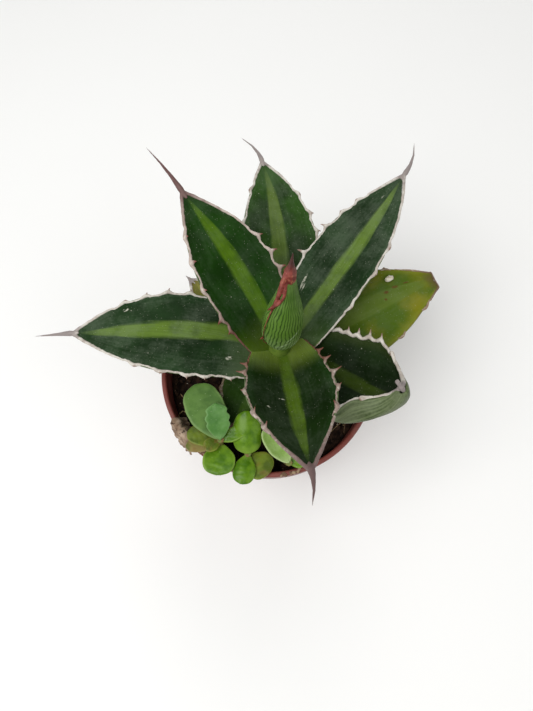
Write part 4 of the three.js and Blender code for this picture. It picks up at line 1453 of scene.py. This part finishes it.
def makeDryLeafMaterial():
    skin = Surface("dryLeafSkin", 0.2, Roughness=0.8)
    skin.base(skin.clouds(170.0, 5.0, 0.35, 0.65), "#7c6450", "#b5a08a")
    skin.coat(skin.times(skin.clouds(420.0, 3.0, 0.58, 0.68), 0.85), "#33221a")
    return skin.done((skin.noise(500.0, 4.0), 0.6, 0.5))


def layDryLeaf():
    dry = spinProfile(dryForm["fall"], dryForm["steps"], dryForm["from"], dryForm["to"])
    tearDryEdge(dry)
    faceOut(0.1 * onLine)
    shake(dryForm["crumple"], 19, uniform=0.3, normal=0.7)
    endEdit()
    grow("SOLIDIFY", dry, thickness=dryForm["thickness"] * mm, offset=1.0)
    grow("SUBSURF", dry, levels=1, render_levels=1)
    smooth(dry)
    dress(dry, makeDryLeafMaterial())
    finishPiece(dry, "dry_litter_leaf", ["dry_leaf"])


def tearDryEdge(dry):  # ragged lower end
    draw = random.Random(23)
    shape = bmesh.from_edit_mesh(dry.data)
    steps = dryForm["steps"]
    bites = [0.0]
    for _ in range(steps):
        bites.append(min(dryForm["deepestTear"], max(0.0, bites[-1] + draw.uniform(-4, 4.6))))
    for vertex in shape.verts:
        angle = math.degrees(math.atan2(vertex.co.y, vertex.co.x)) % 360
        step = round((angle - dryForm["from"]) / (dryForm["to"] - dryForm["from"]) * steps)
        low = ease(93, 79.5, vertex.co.z / mm) if vertex.co.xy.length > 52 * mm else 0
        vertex.co.z += bites[max(0, min(steps, step))] * low * mm
    bmesh.update_edit_mesh(dry.data)


def layLitter():
    chunk = shapeCrumb(31, 2)
    chunk.matrix_world = placing(Vector(litterForm["chunkAt"]), 0.5, 0, Vector(litterForm["chunkSize"]))
    settle(chunk)
    dress(chunk, makePlainMaterial("perliteChunk", "#d8d2c4", "#b9ad98", 500.0, 0.85))
    finishPiece(chunk, "perlite_chunk")
    draw = random.Random(29)
    bits = []
    crumb = shapeCrumb(37)
    first, last = litterForm["onLeaf"]
    for angle, radius, count in litterForm["heaps"]:
        for _ in range(count):
            turn = math.radians(angle + draw.uniform(-5, 5))
            far = radius + draw.uniform(-0.9, 0.7)
            size = draw.uniform(0.35, 0.9)
            raised = litterForm["leafHeight"] if first < math.degrees(turn) < last else 0
            spot = far * headed(turn) + Vector((0, 0, litterForm["height"] + raised))
            flake = size * Vector((1.7, 1, 0.6))
            bits.append(copyOf(crumb, placing(spot, draw.uniform(0, fullTurn), 0, flake)))
    remove(crumb)
    litter = joinAll(bits)
    settle(litter)
    dress(litter, makePlainMaterial("litter", "#6b5240", "#a08a70", 600.0, 0.85))
    finishPiece(litter, "rim_litter")
    print("dry leaf and litter")


tooth = shapeTooth()
growLeaves(tooth)
growBud(tooth)
remove(tooth)
growStem()
growHeart()
buildPot()
fillSoil()
growCompanion()
layDryLeaf()
layLitter()
